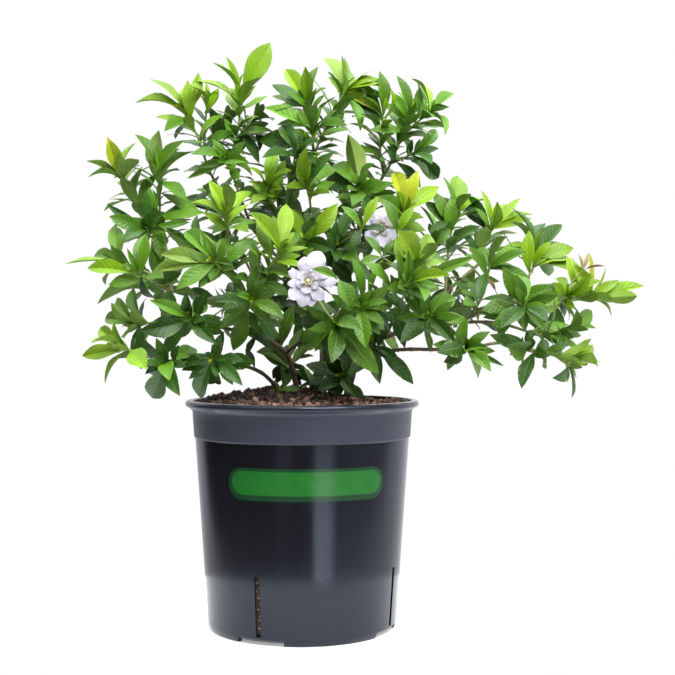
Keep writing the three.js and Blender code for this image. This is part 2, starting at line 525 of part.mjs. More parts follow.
// ---------------------------------------------------------------- pot
function pot() {
  const P = POT;
  const roll = new THREE.Path();
  roll.absarc(P.lipRadius - P.lipRoll, P.height - P.lipRoll, P.lipRoll, -Math.PI / 2, Math.PI / 2, false);
  const shell = solidOf(turned([
    [0, 0], [P.padRadius, 0], [P.padRadius + P.padBevel, P.plateZ],
    [P.footRadius - P.footWidth - P.footBevel, P.plateZ], [P.footRadius - P.footWidth, 0],
    [P.footRadius, 0], [P.heelRadius, P.heelZ], [P.bodyTop, P.bodyTopZ],
    [P.bandFoot, P.bandFootZ], [P.bandTop, P.bandTopZ],
    ...roll.getPoints(3).map((v) => [v.x, v.y]),
    [P.lipBore, P.height], [P.bandTop - P.wall, P.bandTopZ - P.innerStep],
    [P.bodyTop - P.wall, P.bodyTopZ - P.innerStep],
    [P.heelRadius - P.wall, P.plateZ + P.wall + P.heelBevel],
    [P.heelRadius - P.wall - P.heelBevel, P.plateZ + P.wall], [0, P.plateZ + P.wall],
  ], P.sides));
  let cut = shell;
  for (let k = 0; k < P.slits; k++) {
    // a block that lies across the wall, from one height to another
    const block = (depth, width, low, high, radius) => {
      const box = new THREE.BoxGeometry(depth, width, high - low);
      box.translate(radius, 0, (low + high) / 2);
      box.rotateZ(radians(P.slitFirst + (360 / P.slits) * k));
      return solidOf(box);
    };
    cut = cut.subtract(block(P.slitDepth, P.slitWidth, P.slitLow, P.slitHigh, P.heelRadius));
    cut = cut.subtract(block(P.notchDepth, P.notchWidth, -P.notchHeight, P.notchHeight, P.footRadius));
  }
  return cut;
}

// ---------------------------------------------------------------- soil
/** The soil's height at a place: a mound behind the stems, a dip at the right, and clods. */
function soilHeight(x, y) {
  const swells = [SOIL.mound, SOIL.dip].map((at) => {
    const away = Math.hypot((x - at.x) / at.spreadX, (y - at.y) / at.spreadY);
    return at.height * Math.exp(-(away ** 2));
  });
  const large = 1.3 * Math.sin(0.19 * x + 0.7) * Math.cos(0.23 * y);
  const small = 0.9 * Math.sin(0.41 * x - 0.33 * y + 1.1);
  return SOIL.level + swells[0] + swells[1] + large + small;
}

function soil() {
  const P = POT;
  const brim = P.lipBore - SOIL.brim;
  const floor = P.plateZ + P.wall + GAP;
  const wall = (r) => r - P.wall - SOIL.sideGap;
  const outline = [
    [0, floor], [wall(P.heelRadius) - P.heelBevel, floor], [wall(P.heelRadius), floor + P.heelBevel],
    [wall(P.bodyTop), P.bodyTopZ - P.innerStep],
  ];
  for (let ring = SOIL.rings; ring >= 0; ring--) outline.push([(brim * ring) / SOIL.rings, SOIL.level]);
  const onTop = (z) => Math.abs(z - SOIL.level) < 0.01;
  const block = turned(outline, SOIL.sectors);
  return solidOf(bend(block, (x, y, z) => [x, y, onTop(z) ? soilHeight(x, y) : z]));
}

// ---------------------------------------------------------------- woody stems
for (const [name, node, root, tip, points] of BRANCHES) {
  const trunk = !nodes[node];
  const route = points.map(sight);
  const form = { root, tip, sides: WOOD.sides };
  let path;
  if (trunk) {                          // the foot stands straight in the soil
    const [foot, next] = route;
    const rise = unit(sub(next, foot));
    const bottom = soilHeight(foot[0], foot[1]) - SOIL.holeDepth;
    path = [add(foot, mul(rise, (bottom - foot[2]) / rise[2])), ...smooth(route.slice(1), WOOD.step)];
  } else {                              // a branch starts inside the one that it leaves
    const own = Object.values(lines).filter((line) => line.node === node);
    route[0] = own.map((line) => nearest(line, route[0])).sort((a, b) => a.away - b.away)[0].at;
    path = smooth(route, WOOD.step);
  }
  lines[name] = { path, root, tip, node, trunk, wood: true };
  put(node, rod(path, form), rod(path, form, LEAF.clear / 2));
}

let ground = soil();
for (const { path: [foot, next], root } of Object.values(lines).filter((line) => line.trunk)) {
  const rise = unit(sub(next, foot));
  const round = root + SOIL.holeGap;
  const hole = [add(foot, mul(rise, -GAP)), add(foot, mul(rise, 4 * SOIL.holeDepth))];
  ground = ground.subtract(rod(hole, { root: round, tip: round, sides: SOIL.holeSides }));
}
put('soil', ground);
put('pot', pot());

// ---------------------------------------------------------------- blooms
/**
 * A double bloom: a short cup, an outer layer of petals laid back, whose tips are given, and
 * an inner layer held up round the eye, which is a node of its own.
 */
function bloom(node, { centre, face, tips, inner, seed }) {
  const B = BLOOM;
  const draw = draws(seed);
  const f = unit(face);
  const e1 = square([1, 0, 0], f);
  const e2 = cross(f, e1);
  const middle = sight(centre);
  const base = add(middle, mul(f, -B.seat));
  const on = (height, out = 0, way = f) => add(base, add(mul(f, height), mul(way, out)));

  const petal = (angle, foot, reach, rise, half, stations) => {
    const out = around(e1, e2, angle);
    const up = add(f, mul(out, -B.layBack));
    const arch = B.arch + B.archDraw * draw();
    const form = { up, half, arch, thick: B.thick, outline: petalOutline };
    put(node, blade({ base: on(foot, B.foot, out), tip: on(rise, reach, out), ...form }, stations));
  };
  const cup = { root: B.cupRoot, tip: B.cupRim, sides: B.cupSides };
  put(node, rod([on(-B.cupBack), on(B.cupFront)], cup));
  tips.forEach(([across, down], i) => {
    const away = sub(sight([across, down, centre[2]]), middle);
    const reach = size(away);
    const rise = (i % 2) * B.outerRise + B.riseDraw * draw();
    const angle = Math.atan2(away[2], away[0]);
    petal(angle, B.outerFeet[i % 2], reach, rise, reach * B.outerHalf, B.outerStations);
  });
  for (let k = 0; k < inner; k++) {
    const angle = (k / inner) * 2 * Math.PI + B.innerTurn + B.innerTurnDraw * draw();
    const reach = B.innerReach + B.innerReachDraw * draw();
    const rise = B.innerRise + B.innerRiseDraw * draw();
    petal(angle, B.innerFoot, reach, rise, B.innerHalf, B.innerStations);
  }
  const club = { root: B.eyeRoot, tip: B.eyeTip, sides: B.eyeSides, bud: B.eyePoint };
  put(`${node}_eye`, rod([on(B.eyeFrom), on(B.eyeTo)], club));
  const stamen = { root: B.stamenRadius, tip: B.stamenTip, sides: 3 };
  for (let k = 0; k < B.stamens; k++) {
    const out = around(e1, e2, (k / B.stamens) * 2 * Math.PI);
    const [from, to] = [B.stamenFrom, B.stamenTo].map(([height, aside]) => on(height, aside, out));
    put(`${node}_eye`, rod([from, to], stamen));
  }
}
for (const [node, data] of Object.entries(BLOOMS)) bloom(node, data);

// ---------------------------------------------------------------- leafy stems
const nodeOf = {};
for (const [name, from] of LEAFY_STEMS) nodeOf[name] = nodeOf[from] || `leafy_stem_${name}`;

/** A stem's centre line, seated on its branch with the clearance, or forking from a leafy stem. */
function stemLine([name, from, , points]) {
  const parent = lines[from];
  const fork = !parent.wood;
  let path;
  for (const push of STEM.pushes) {
    const inner = (i) => i > 0 && i < points.length - 1;
    const [first, ...rest] = points.map(([across, down, depth], i) => (
      add(sight([across, down, depth]), [0, inner(i) ? push : 0, 0])));
    const seat = nearest(parent, first);
    const foot = seat.end ? parent.path[parent.path.length - 1] : seat.at;
    const out = seat.end ? seat.dir : unit(sub(rest[0], seat.at));
    path = smooth([seat.at, ...rest], STEM.step);
    let low = 0;
    let high = seat.end ? STEM.endLift : STEM.sideLift;
    for (let k = 0; k < STEM.halvings && !fork; k++) {   // halve the range of lifts until the gap is right
      const lift = (low + high) / 2;
      const start = add(foot, mul(out, lift));
      const lead = seat.end ? [add(start, mul(out, STEM.lead))] : [];
      path = smooth([start, ...lead, ...rest], STEM.step);
      const gap = gapTo(rod(path, STEM), parent.node);
      if (gap > GAP && gap < GAP + STEM.seatSlack) break;
      if (gap > GAP) high = lift;
      else low = lift;
    }
    if (clearOf(rod(path, STEM, STEM.guard), [nodeOf[name], fork ? '' : parent.node])) break;
  }
  return { path, length: lengthOf(path), root: STEM.root, tip: STEM.tip, node: nodeOf[name] };
}

// every stem comes first, so that each leaf can be bent clear of them all
for (const entry of LEAFY_STEMS) {
  const line = stemLine(entry);
  lines[entry[0]] = line;
  put(line.node, rod(line.path, STEM), rod(line.path, STEM, LEAF.clear / 2));
}

// each bloom's stalk forks from a leafy stem and meets the back of its cup
for (const { centre, face, stalkFrom, stalk } of Object.values(BLOOMS)) {
  const f = unit(face);
  const end = add(sight(centre), mul(f, -(BLOOM.seat + BLOOM.cupBack + GAP)));
  const route = [nearest(lines[stalkFrom], sight(stalk[0])).at, ...stalk.slice(1).map(sight)];
  const path = [...smooth([...route, add(end, mul(f, -STALK.straight))], STALK.step), end];
  put(nodeOf[stalkFrom], rod(path, STALK), rod(path, STALK, LEAF.clear / 2));
}

// ---------------------------------------------------------------- leaves
const WIDTH = { b: LEAF.broad, n: LEAF.narrow };

/** A leaf's blade, from its foot, its tip, its kind and the way that its stem runs. */
function leafOf(base, tip, kind, axis, seed) {
  const draw = draws(seed);
  const turn = [draw() - 0.5, draw() - 0.5, draw() - 0.5];
  const shown = kind[0] === 'b' ? LEAF.shownBroad : LEAF.shown;    // how much it faces the front
  const front = mul(unit(sub(EYE, base)), kind.endsWith('P') ? -shown : shown);
  const lying = mul(unit(add(axis, [0, 0, LEAF.level])), 1 - shown);
  const share = (WIDTH[kind[0]] || LEAF.slender) * (1 - LEAF.widthDraw + 2 * LEAF.widthDraw * draw());
  return {
    base, tip, up: add(add(lying, front), mul(turn, LEAF.twist)), half: (size(sub(tip, base)) * share) / 2,
    arch: LEAF.arch + LEAF.archMore * draw(), thick: LEAF.thick, outline: leafOutline,
  };
}

/** The ways to lay a leaf whose tip is placed on the sheet: the leaf's length sets its depth. */
function tipChoices(line, [across, down, kind], order, seed) {
  const draw = draws(seed);
  const [least, most] = kind[0] === 'n' ? LEAF.young : LEAF.grown;
  const long = least + (most - least) * draw();
  const side = draw() < 0.5 ? -1 : 1;
  const own = Math.floor(draw() * 1e9);
  const feet = LEAF.feet.filter((back, i) => i === 0 || back < line.length - LEAF.lowest)
    .map((back) => spot(line, back + LEAF.footStep * order));
  const flat = (foot) => size(sub(sight([across, down, foot.at[1]]), foot.at));
  let best = feet[0];                    // the foot nearest to the tip that gives the leaf its length
  for (const foot of feet) {
    const nearer = flat(foot) < flat(best) && flat(best) > long * LEAF.stretch;
    const longer = flat(feet[0]) < LEAF.lowest && flat(foot) > flat(best) && flat(foot) < long;
    if (nearer || longer) best = foot;
  }
  const seenLong = flat(best);
  const deep = seenLong >= long ? LEAF.leastDeep * seenLong : Math.sqrt(long ** 2 - seenLong ** 2);
  return LEAF.depths.map((part) => {
    const tip = sight([across, down, best.at[1] + side * part * deep]);
    return leafOf(best.at, tip, kind, best.axis, own);
  });
}

/** The ways to lay a leaf of a pair, by the pair's place on the stem. */
function pairChoices(line, place, which, turn, kind, seed) {
  const draw = draws(seed);
  const { at, axis } = spot(line, place);
  const e1 = square([0.3, -0.9, 0.2], axis);
  const e2 = cross(axis, e1);
  const [least, most] = LEAF.grown;
  const long = least + (most - least) * draw();
  const lean = radians(PAIR.lean + Math.min(PAIR.leanMore, place * PAIR.leanRate) + PAIR.leanDraw * draw());
  const own = Math.floor(draw() * 1e9);
  const aside = 0.5 * (draw() - 0.5);
  return PAIR.ways.map(([round, tilt, shrink]) => {
    const out = around(e1, e2, turn + Math.PI * which + aside + round);
    const way = add(mul(axis, Math.cos(lean + tilt)), mul(out, Math.sin(lean + tilt)));
    const run = mul(unit(add(way, [0, 0, -PAIR.sag])), long * shrink);
    return leafOf(at, add(at, run), kind, axis, own);
  });
}

/** Whether a place is seen inside the crown's reach. */
function inReach(p) {
  const [across, down] = seen(p);
  const i = REACH.findIndex(([level], k) => k > 0 && down <= level);
  if (i < 1 || down < REACH[0][0]) return false;
  const [above, leftAbove, rightAbove] = REACH[i - 1];
  const [below, leftBelow, rightBelow] = REACH[i];
  const u = (down - above) / (below - above);
  const left = leftAbove + (leftBelow - leftAbove) * u;
  const right = rightAbove + (rightBelow - rightAbove) * u;
  return across > left && across < right;
}

/** Puts in the first choice that is clear; `must` lets it cross its own stem's leaves if need be. */
function settle(node, choices, must) {
  for (const crossing of must ? [false, true] : [false]) {
    for (const leaf of choices) {
      const own = blade(leaf, LEAF.stations, 0, LEAF.ownFoot);
      if (!clearOf(blade(leaf, LEAF.stations, LEAF.clear), [node])) continue;
      if (!crossing && !clearOfOwn(own, node)) continue;
      put(node, blade(leaf), undefined, own);
      return leaf.tip;
    }
  }
  return null;
}

const tipsOn = {};
LEAFY_STEMS.forEach(([name, , , , tips], index) => {
  tipsOn[name] = tips.map((tip, i) => {
    const choices = tipChoices(lines[name], tip, i % LEAF.footTurns, 1000 * (index + 1) + i);
    return settle(nodeOf[name], choices, true);
  }).filter(Boolean);
});

// then pairs down the barer stems, every pair square to the one above
LEAFY_STEMS.forEach(([name, , greens, , tips], index) => {
  const line = lines[name];
  const firstTurn = draws(77 + index)() * Math.PI;
  let bearing = tips.length;
  for (let j = 0; PAIR.first + j * PAIR.step < line.length - PAIR.lowest; j++) {
    for (let which = 0; which < 2 && bearing < PAIR.fewest; which++) {
      const place = PAIR.first + j * PAIR.step + PAIR.shift * which;
      const kind = j > 0 || greens === 'D' ? 'D' : 'G';
      const seed = 500000 + 1000 * index + 10 * (j + 1) + which;
      const choices = pairChoices(line, place, which, firstTurn + ((j + 1) * Math.PI) / 2, kind, seed)
        .filter(({ tip }) => inReach(tip) && tipsOn[name].every((t) => size(sub(t, tip)) > PAIR.apart));
      if (settle(nodeOf[name], choices, false)) bearing += 1;
    }
  }
});

// ---------------------------------------------------------------- the finished group
const FINISH = {
  pot: { color: '#3a3f42', roughness: 0.45 },
  soil: { color: '#4a3426', roughness: 1 },
  woody: { color: '#6b5136', roughness: 0.85 },
  leafy: { color: '#5f9a2a', roughness: 0.35 },
  bloom: { color: '#f6f5f0', roughness: 0.6 },
  eye: { color: '#e8d98a', roughness: 0.7 },
};
const group = new THREE.Group();
group.name = 'potted_gardenia';
for (const [name, solids] of Object.entries(nodes)) {
  const { vertProperties, triVerts } = (solids.length > 1 ? fuse(solids) : solids[0]).getMesh();
  const geometry = new THREE.BufferGeometry();
  geometry.setAttribute('position', new THREE.BufferAttribute(vertProperties, 3));
  geometry.setIndex(new THREE.BufferAttribute(triVerts, 1));
  const finish = name.endsWith('_eye') ? FINISH.eye : FINISH[name.split('_')[0]];
  const part = new THREE.Mesh(geometry, new THREE.MeshStandardMaterial({ ...finish, metalness: 0 }));
  part.name = name;
  group.add(part);
}

export default group;
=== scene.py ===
"""The potted gardenia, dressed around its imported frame.

Lengths are in millimetres until a piece is made, and +Z is up, with the front toward -Y. A
place in the crown is given as [across, down, depth] on the front sheet: the flat view, 675
units each way, in which the plant was laid out. Each piece is worked out as whole arrays.
"""

from __future__ import annotations

import json
import logging
import math
from dataclasses import dataclass, field, replace
from enum import Enum

import bpy
import numpy as np
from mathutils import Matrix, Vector

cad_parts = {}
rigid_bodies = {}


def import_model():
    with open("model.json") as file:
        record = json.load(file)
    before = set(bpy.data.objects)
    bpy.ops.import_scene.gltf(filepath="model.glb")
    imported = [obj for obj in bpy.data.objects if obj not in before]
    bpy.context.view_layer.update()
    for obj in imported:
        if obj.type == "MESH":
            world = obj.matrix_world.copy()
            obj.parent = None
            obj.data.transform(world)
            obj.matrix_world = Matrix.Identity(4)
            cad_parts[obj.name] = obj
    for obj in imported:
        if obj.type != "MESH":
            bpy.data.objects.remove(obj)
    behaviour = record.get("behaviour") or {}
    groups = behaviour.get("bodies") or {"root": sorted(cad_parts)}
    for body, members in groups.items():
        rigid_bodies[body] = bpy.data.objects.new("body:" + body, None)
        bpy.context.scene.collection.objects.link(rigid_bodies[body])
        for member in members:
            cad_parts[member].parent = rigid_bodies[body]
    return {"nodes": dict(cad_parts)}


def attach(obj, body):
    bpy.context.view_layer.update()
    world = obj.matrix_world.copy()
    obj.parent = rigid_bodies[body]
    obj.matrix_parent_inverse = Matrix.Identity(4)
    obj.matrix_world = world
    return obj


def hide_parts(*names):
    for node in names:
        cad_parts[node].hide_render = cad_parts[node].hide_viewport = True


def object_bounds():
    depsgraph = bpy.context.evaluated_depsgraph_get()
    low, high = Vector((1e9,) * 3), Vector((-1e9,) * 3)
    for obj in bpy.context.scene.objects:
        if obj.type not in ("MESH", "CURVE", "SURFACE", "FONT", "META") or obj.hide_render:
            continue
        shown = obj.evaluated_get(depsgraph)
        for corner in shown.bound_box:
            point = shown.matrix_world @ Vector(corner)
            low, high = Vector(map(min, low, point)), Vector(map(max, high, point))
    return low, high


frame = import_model()
CAD_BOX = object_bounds()
log = logging.getLogger("gardenia")

Array = np.ndarray
Pair = tuple[Array, Array]
Material = bpy.types.Material
Node = bpy.types.Node
MM = 0.001
EYE = np.array([37.55, -1319.0, 307.6])
SHEET_CENTRE = 337.5
SHEET_SCALE = 1229.0
TUBE_HINT = (0.31, -0.9, 0.3)


# ---------------------------------------------------------------- vectors and the front sheet
def unit(v: Array) -> Array:
    """Each vector at length 1."""
    return v / np.maximum(np.linalg.norm(v, axis=-1, keepdims=True), 1e-9)


def square(a: Array, t: Array) -> Array:
    """Each vector a made square to the unit vector t, at length 1."""
    return unit(a - t * np.sum(a * t, axis=-1, keepdims=True))


def ways_across(way: Array, hint: Array) -> Pair:
    """Two ways square to each unit vector and to each other, the first on the hint's side."""
    first = square(np.broadcast_to(hint, way.shape), way)
    return first, np.cross(way, first)


def around(across: Pair, turn: Array) -> Array:
    """The ways at angles from the first of two square ones toward the second."""
    return across[0] * np.cos(turn)[..., None] + across[1] * np.sin(turn)[..., None]


def sight(place: Array) -> Array:
    """Places in mm of [across, down, depth] on the front sheet.

    Args:
        place: the [across, down, depth] of each.

    Returns:
        The places in mm.
    """
    p = np.asarray(place, float)
    scale = (p[..., 2] - EYE[1]) / SHEET_SCALE
    x = EYE[0] + (p[..., 0] - SHEET_CENTRE) * scale
    z = EYE[2] - (p[..., 1] - SHEET_CENTRE) * scale
    return np.stack([x, p[..., 2], z], axis=-1)


def seen(p: Array) -> Array:
    """The [across, down] at which places in mm are seen on the front sheet.

    Args:
        p: the places in mm.

    Returns:
        The [across, down] of each.
    """
    scale = (p[..., 1] - EYE[1]) / SHEET_SCALE
    across = SHEET_CENTRE + (p[..., 0] - EYE[0]) / scale
    return np.stack([across, SHEET_CENTRE - (p[..., 2] - EYE[2]) / scale], axis=-1)


def smooth_step(low: float, high: float, x: Array) -> Array:
    """0 below low, 1 above high, and a smooth turn between."""
    u = np.clip((x - low) / (high - low), 0, 1)
    return u * u * (3 - 2 * u)


def linear(code: str) -> Array:
    """A colour written as six hex digits, as linear light."""
    c = np.array([int(code[i:i + 2], 16) for i in (0, 2, 4)]) / 255
    return np.where(c < 0.04045, c / 12.92, ((c + 0.055) / 1.055) ** 2.4)


def run_of(path: Array) -> Array:
    """The length of a path from its start to each point."""
    return np.concatenate([[0], np.cumsum(np.linalg.norm(np.diff(path, axis=0), axis=1))])


def along(run: Array, values: Array, where: Array) -> Array:
    """Values of three numbers at lengths along a path, between those of its points."""
    return np.stack([np.interp(where, run, values[:, k]) for k in range(3)], axis=-1)


def smooth_path(knots: Array, step: float) -> Array:
    """A centripetal Catmull-Rom curve through the knots, sampled evenly.

    Each span is a cubic whose end slopes come from the neighbouring knots, weighted by the
    square roots of the distances between them.

    Args:
        knots: the points to pass through, (n, 3).
        step: the distance between samples, in mm.

    Returns:
        The samples, (m, 3), from the first knot to the last.
    """
    p = np.vstack([2 * knots[0] - knots[1], knots, 2 * knots[-1] - knots[-2]])
    gap = np.maximum(np.linalg.norm(np.diff(p, axis=0), axis=1), 1e-6)[:, None] ** 0.5
    a, b, c = gap[:-2], gap[1:-1], gap[2:]
    p0, p1, p2, p3 = p[:-3], p[1:-2], p[2:-1], p[3:]
    out = ((p1 - p0) / a - (p2 - p0) / (a + b) + (p2 - p1) / b) * b
    into = ((p2 - p1) / b - (p3 - p1) / (b + c) + (p3 - p2) / c) * b
    u = np.linspace(0, 1, 40)[None, :, None]
    h = (2 * u ** 3 - 3 * u ** 2 + 1) * p1[:, None] + (u ** 3 - 2 * u ** 2 + u) * out[:, None]
    h = h + (3 * u ** 2 - 2 * u ** 3) * p2[:, None] + (u ** 3 - u ** 2) * into[:, None]
    fine = h.reshape(-1, 3)
    run = run_of(fine)
    return along(run, fine, np.linspace(0, run[-1], max(3, round(run[-1] / step) + 1)))


def nearest_on(path: Array, p: Array) -> tuple[Array, Array, Array]:
    """The nearest places of a path to points.

    Args:
        path: the path's points, (n, 3).
        p: the points, (m, 3).

    Returns:
        The places (m, 3), their distances from the points, and their lengths along the path.
    """
    a, d = path[:-1], np.diff(path, axis=0)
    long = np.linalg.norm(d, axis=1)
    u = np.clip(np.sum((p[:, None] - a) * d, axis=2) / long ** 2, 0, 1)
    at = a + d * u[..., None]
    away = np.linalg.norm(p[:, None] - at, axis=2)
    best = np.argmin(away, axis=1)
    row = np.arange(len(p))
    start = np.concatenate([[0], np.cumsum(long)])[:-1]
    return at[row, best], away[row, best], start[best] + u[row, best] * long[best]


# ---------------------------------------------------------------- surfaces
@dataclass
class Surface:
    """A surface in mm. A face holds 4 corners, and -1 in place of the last in a triangle."""

    points: Array
    faces: Array
    uv: Array
    tint: Array
    mark: Array
    paint: int = 0


def lattice(rows: int, columns: int) -> Array:
    """The quads of a grid of points, counted row by row, whose rows are closed rings.

    Args:
        rows: how many rows of points there are.
        columns: how many points a row has.

    Returns:
        (m, 4) corner numbers, each face turning from a row's point to its next.
    """
    i, j = np.arange(rows - 1)[:, None], np.arange(columns)
    j2 = (j + 1) % columns
    quads = [i * columns + j, i * columns + j2, (i + 1) * columns + j2, (i + 1) * columns + j]
    return np.stack(quads, axis=-1).reshape(-1, 4)


def ring_faces(rows: int, sides: int) -> Array:
    """The faces of a closed body of rings: the quads, then a fan round a foot and one round a top.

    The foot and the top are the two points after those of the rings.

    Args:
        rows: how many rings there are.
        sides: how many points a ring has.

    Returns:
        The faces, with -1 as the last corner of a triangle.
    """
    j = np.arange(sides)
    j2, last, none = (j + 1) % sides, (rows - 1) * sides, np.full(sides, -1)
    foot = np.stack([np.full(sides, rows * sides), j2, j, none], axis=1)
    top = np.stack([np.full(sides, rows * sides + 1), last + j, last + j2, none], axis=1)
    return np.vstack([lattice(rows, sides), foot, top])


def capped_tube(rings: Array, tint: Array, paint: int = 0) -> Surface:
    """A closed tube through rings of points, with a fan at each end.

    Args:
        rings: (rows, sides, 3), each ring turning left about the way that the tube runs.
        tint: the colour, or one for each ring.
        paint: which of the piece's materials it has.

    Returns:
        The surface, whose pattern runs round and then along, in turns and in mm.
    """
    rows, sides, _ = rings.shape
    ends = rings[[0, -1]].mean(axis=1)
    points = np.vstack([rings.reshape(-1, 3), ends])
    faces = ring_faces(rows, sides)
    run = run_of(rings.mean(axis=1))
    v = np.concatenate([np.repeat(run, sides), [0, run[-1]]])
    u = np.concatenate([np.tile(np.arange(sides) / sides, rows), [0, 0]])
    corner = np.where(faces < 0, 0, faces)
    uv = np.stack([u[corner], v[corner]], axis=-1)
    uv[..., 0] = np.where((uv[..., 0] == 0) & (uv[..., 0].max(axis=1, keepdims=True) > 0.6), 1, uv[..., 0])
    colour = np.broadcast_to(tint, (rows, 3)) if np.ndim(tint) == 1 else tint
    colour = np.vstack([np.repeat(colour, sides, axis=0), colour[[0, -1]]])
    return Surface(points, faces, uv, colour, np.zeros(len(points)), paint)


def tube(path: Array, radius: Array, sides: int, tint: Array, lumps: Array | None = None,
         paint: int = 0) -> Surface:
    """A tube along a path: at each point, a ring square to the path.

    Args:
        path: the centre line, (n, 3).
        radius: the radius at each point.
        sides: how many points a ring has.
        tint: the colour, or one for each ring.
        lumps: what the radius is multiplied by, (n, sides).
        paint: which of the piece's materials it has.

    Returns:
        The closed surface.
    """
    t = unit(np.gradient(path, axis=0))
    e1, e2 = ways_across(t, TUBE_HINT)
    angle = 2 * np.pi * np.arange(sides) / sides
    r = np.asarray(radius, float)[:, None] * (1 if lumps is None else lumps)
    out = around((e1[:, None], e2[:, None]), angle)
    return capped_tube(path[:, None] + out * r[..., None], tint, paint)


def make_piece(name: str, surfaces: list[Surface], paints: list[Material],
               nodes: list[str], sharp: float = 48.0) -> bpy.types.Object:
    """Makes one piece of surfaces, rides it on the part and lets it stand for CAD nodes.

    Args:
        name: the piece's name.
        surfaces: what it is made of.
        paints: its materials, in the order that the surfaces' paint counts them.
        nodes: the CAD nodes that it stands for.
        sharp: the angle past which two faces meet in an edge, in degrees.

    Returns:
        The object, at the origin.
    """
    counts = np.cumsum([0] + [len(s.points) for s in surfaces])
    faces = np.vstack([np.where(s.faces < 0, -1, s.faces + c) for s, c in zip(surfaces, counts)])
    uv = np.vstack([s.uv for s in surfaces])
    held = faces >= 0
    corners, size = faces[held], held.sum(axis=1)
    mesh = bpy.data.meshes.new(name)
    mesh.vertices.add(counts[-1])
    points = np.vstack([s.points for s in surfaces]) * MM
    mesh.vertices.foreach_set("co", points.astype(np.float32).ravel())
    mesh.loops.add(len(corners))
    mesh.loops.foreach_set("vertex_index", corners.astype(np.int32))
    mesh.polygons.add(len(faces))
    starts = np.concatenate([[0], np.cumsum(size)[:-1]])
    mesh.polygons.foreach_set("loop_start", starts.astype(np.int32))
    paint = np.concatenate([np.full(len(s.faces), s.paint) for s in surfaces])
    mesh.polygons.foreach_set("material_index", paint.astype(np.int32))
    mesh.polygons.foreach_set("use_smooth", np.ones(len(faces), bool))
    mesh.update(calc_edges=True)
    mesh.uv_layers.new(name="pattern").data.foreach_set("uv", uv[held].astype(np.float32).ravel())
    tint = np.vstack([s.tint for s in surfaces])
    tint = np.hstack([tint, np.ones((len(tint), 1))]).astype(np.float32)
    mesh.attributes.new("tint", "FLOAT_COLOR", "POINT").data.foreach_set("color", tint.ravel())
    mark = np.concatenate([s.mark for s in surfaces]).astype(np.float32)
    mesh.attributes.new("mark", "FLOAT", "POINT").data.foreach_set("value", mark)
    mesh.set_sharp_from_angle(angle=math.radians(sharp))
    for material in paints:
        mesh.materials.append(material)
    piece = bpy.data.objects.new(name, mesh)
    bpy.context.scene.collection.objects.link(piece)
    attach(piece, "root")
    if nodes:
        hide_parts(*nodes)
    log.info("%s: %d points, %d faces", name, counts[-1], len(faces))
    return piece


# ---------------------------------------------------------------- materials
class Value:
    """A socket in a shader graph, with which sums are written as with numbers."""

    def __init__(self, graph: Graph, socket: bpy.types.NodeSocket) -> None:
        """A node's output, in its graph."""
        self.graph = graph
        self.socket = socket

    def __add__(self, other: Value | float) -> Value:
        """This and another value."""
        return self.graph.math("ADD", self, other)

    def __sub__(self, other: Value | float) -> Value:
        """This less another value."""
        return self.graph.math("SUBTRACT", self, other)

    def __rsub__(self, other: float) -> Value:
        """A number less this."""
        return self.graph.math("SUBTRACT", other, self)

    def __mul__(self, other: Value | float) -> Value:
        """This times another value."""
        return self.graph.math("MULTIPLY", self, other)

    def __truediv__(self, other: Value | float) -> Value:
        """This shared by another value."""
        return self.graph.math("DIVIDE", self, other)

    def __abs__(self) -> Value:
        """This without its sign."""
        return self.graph.math("ABSOLUTE", self)


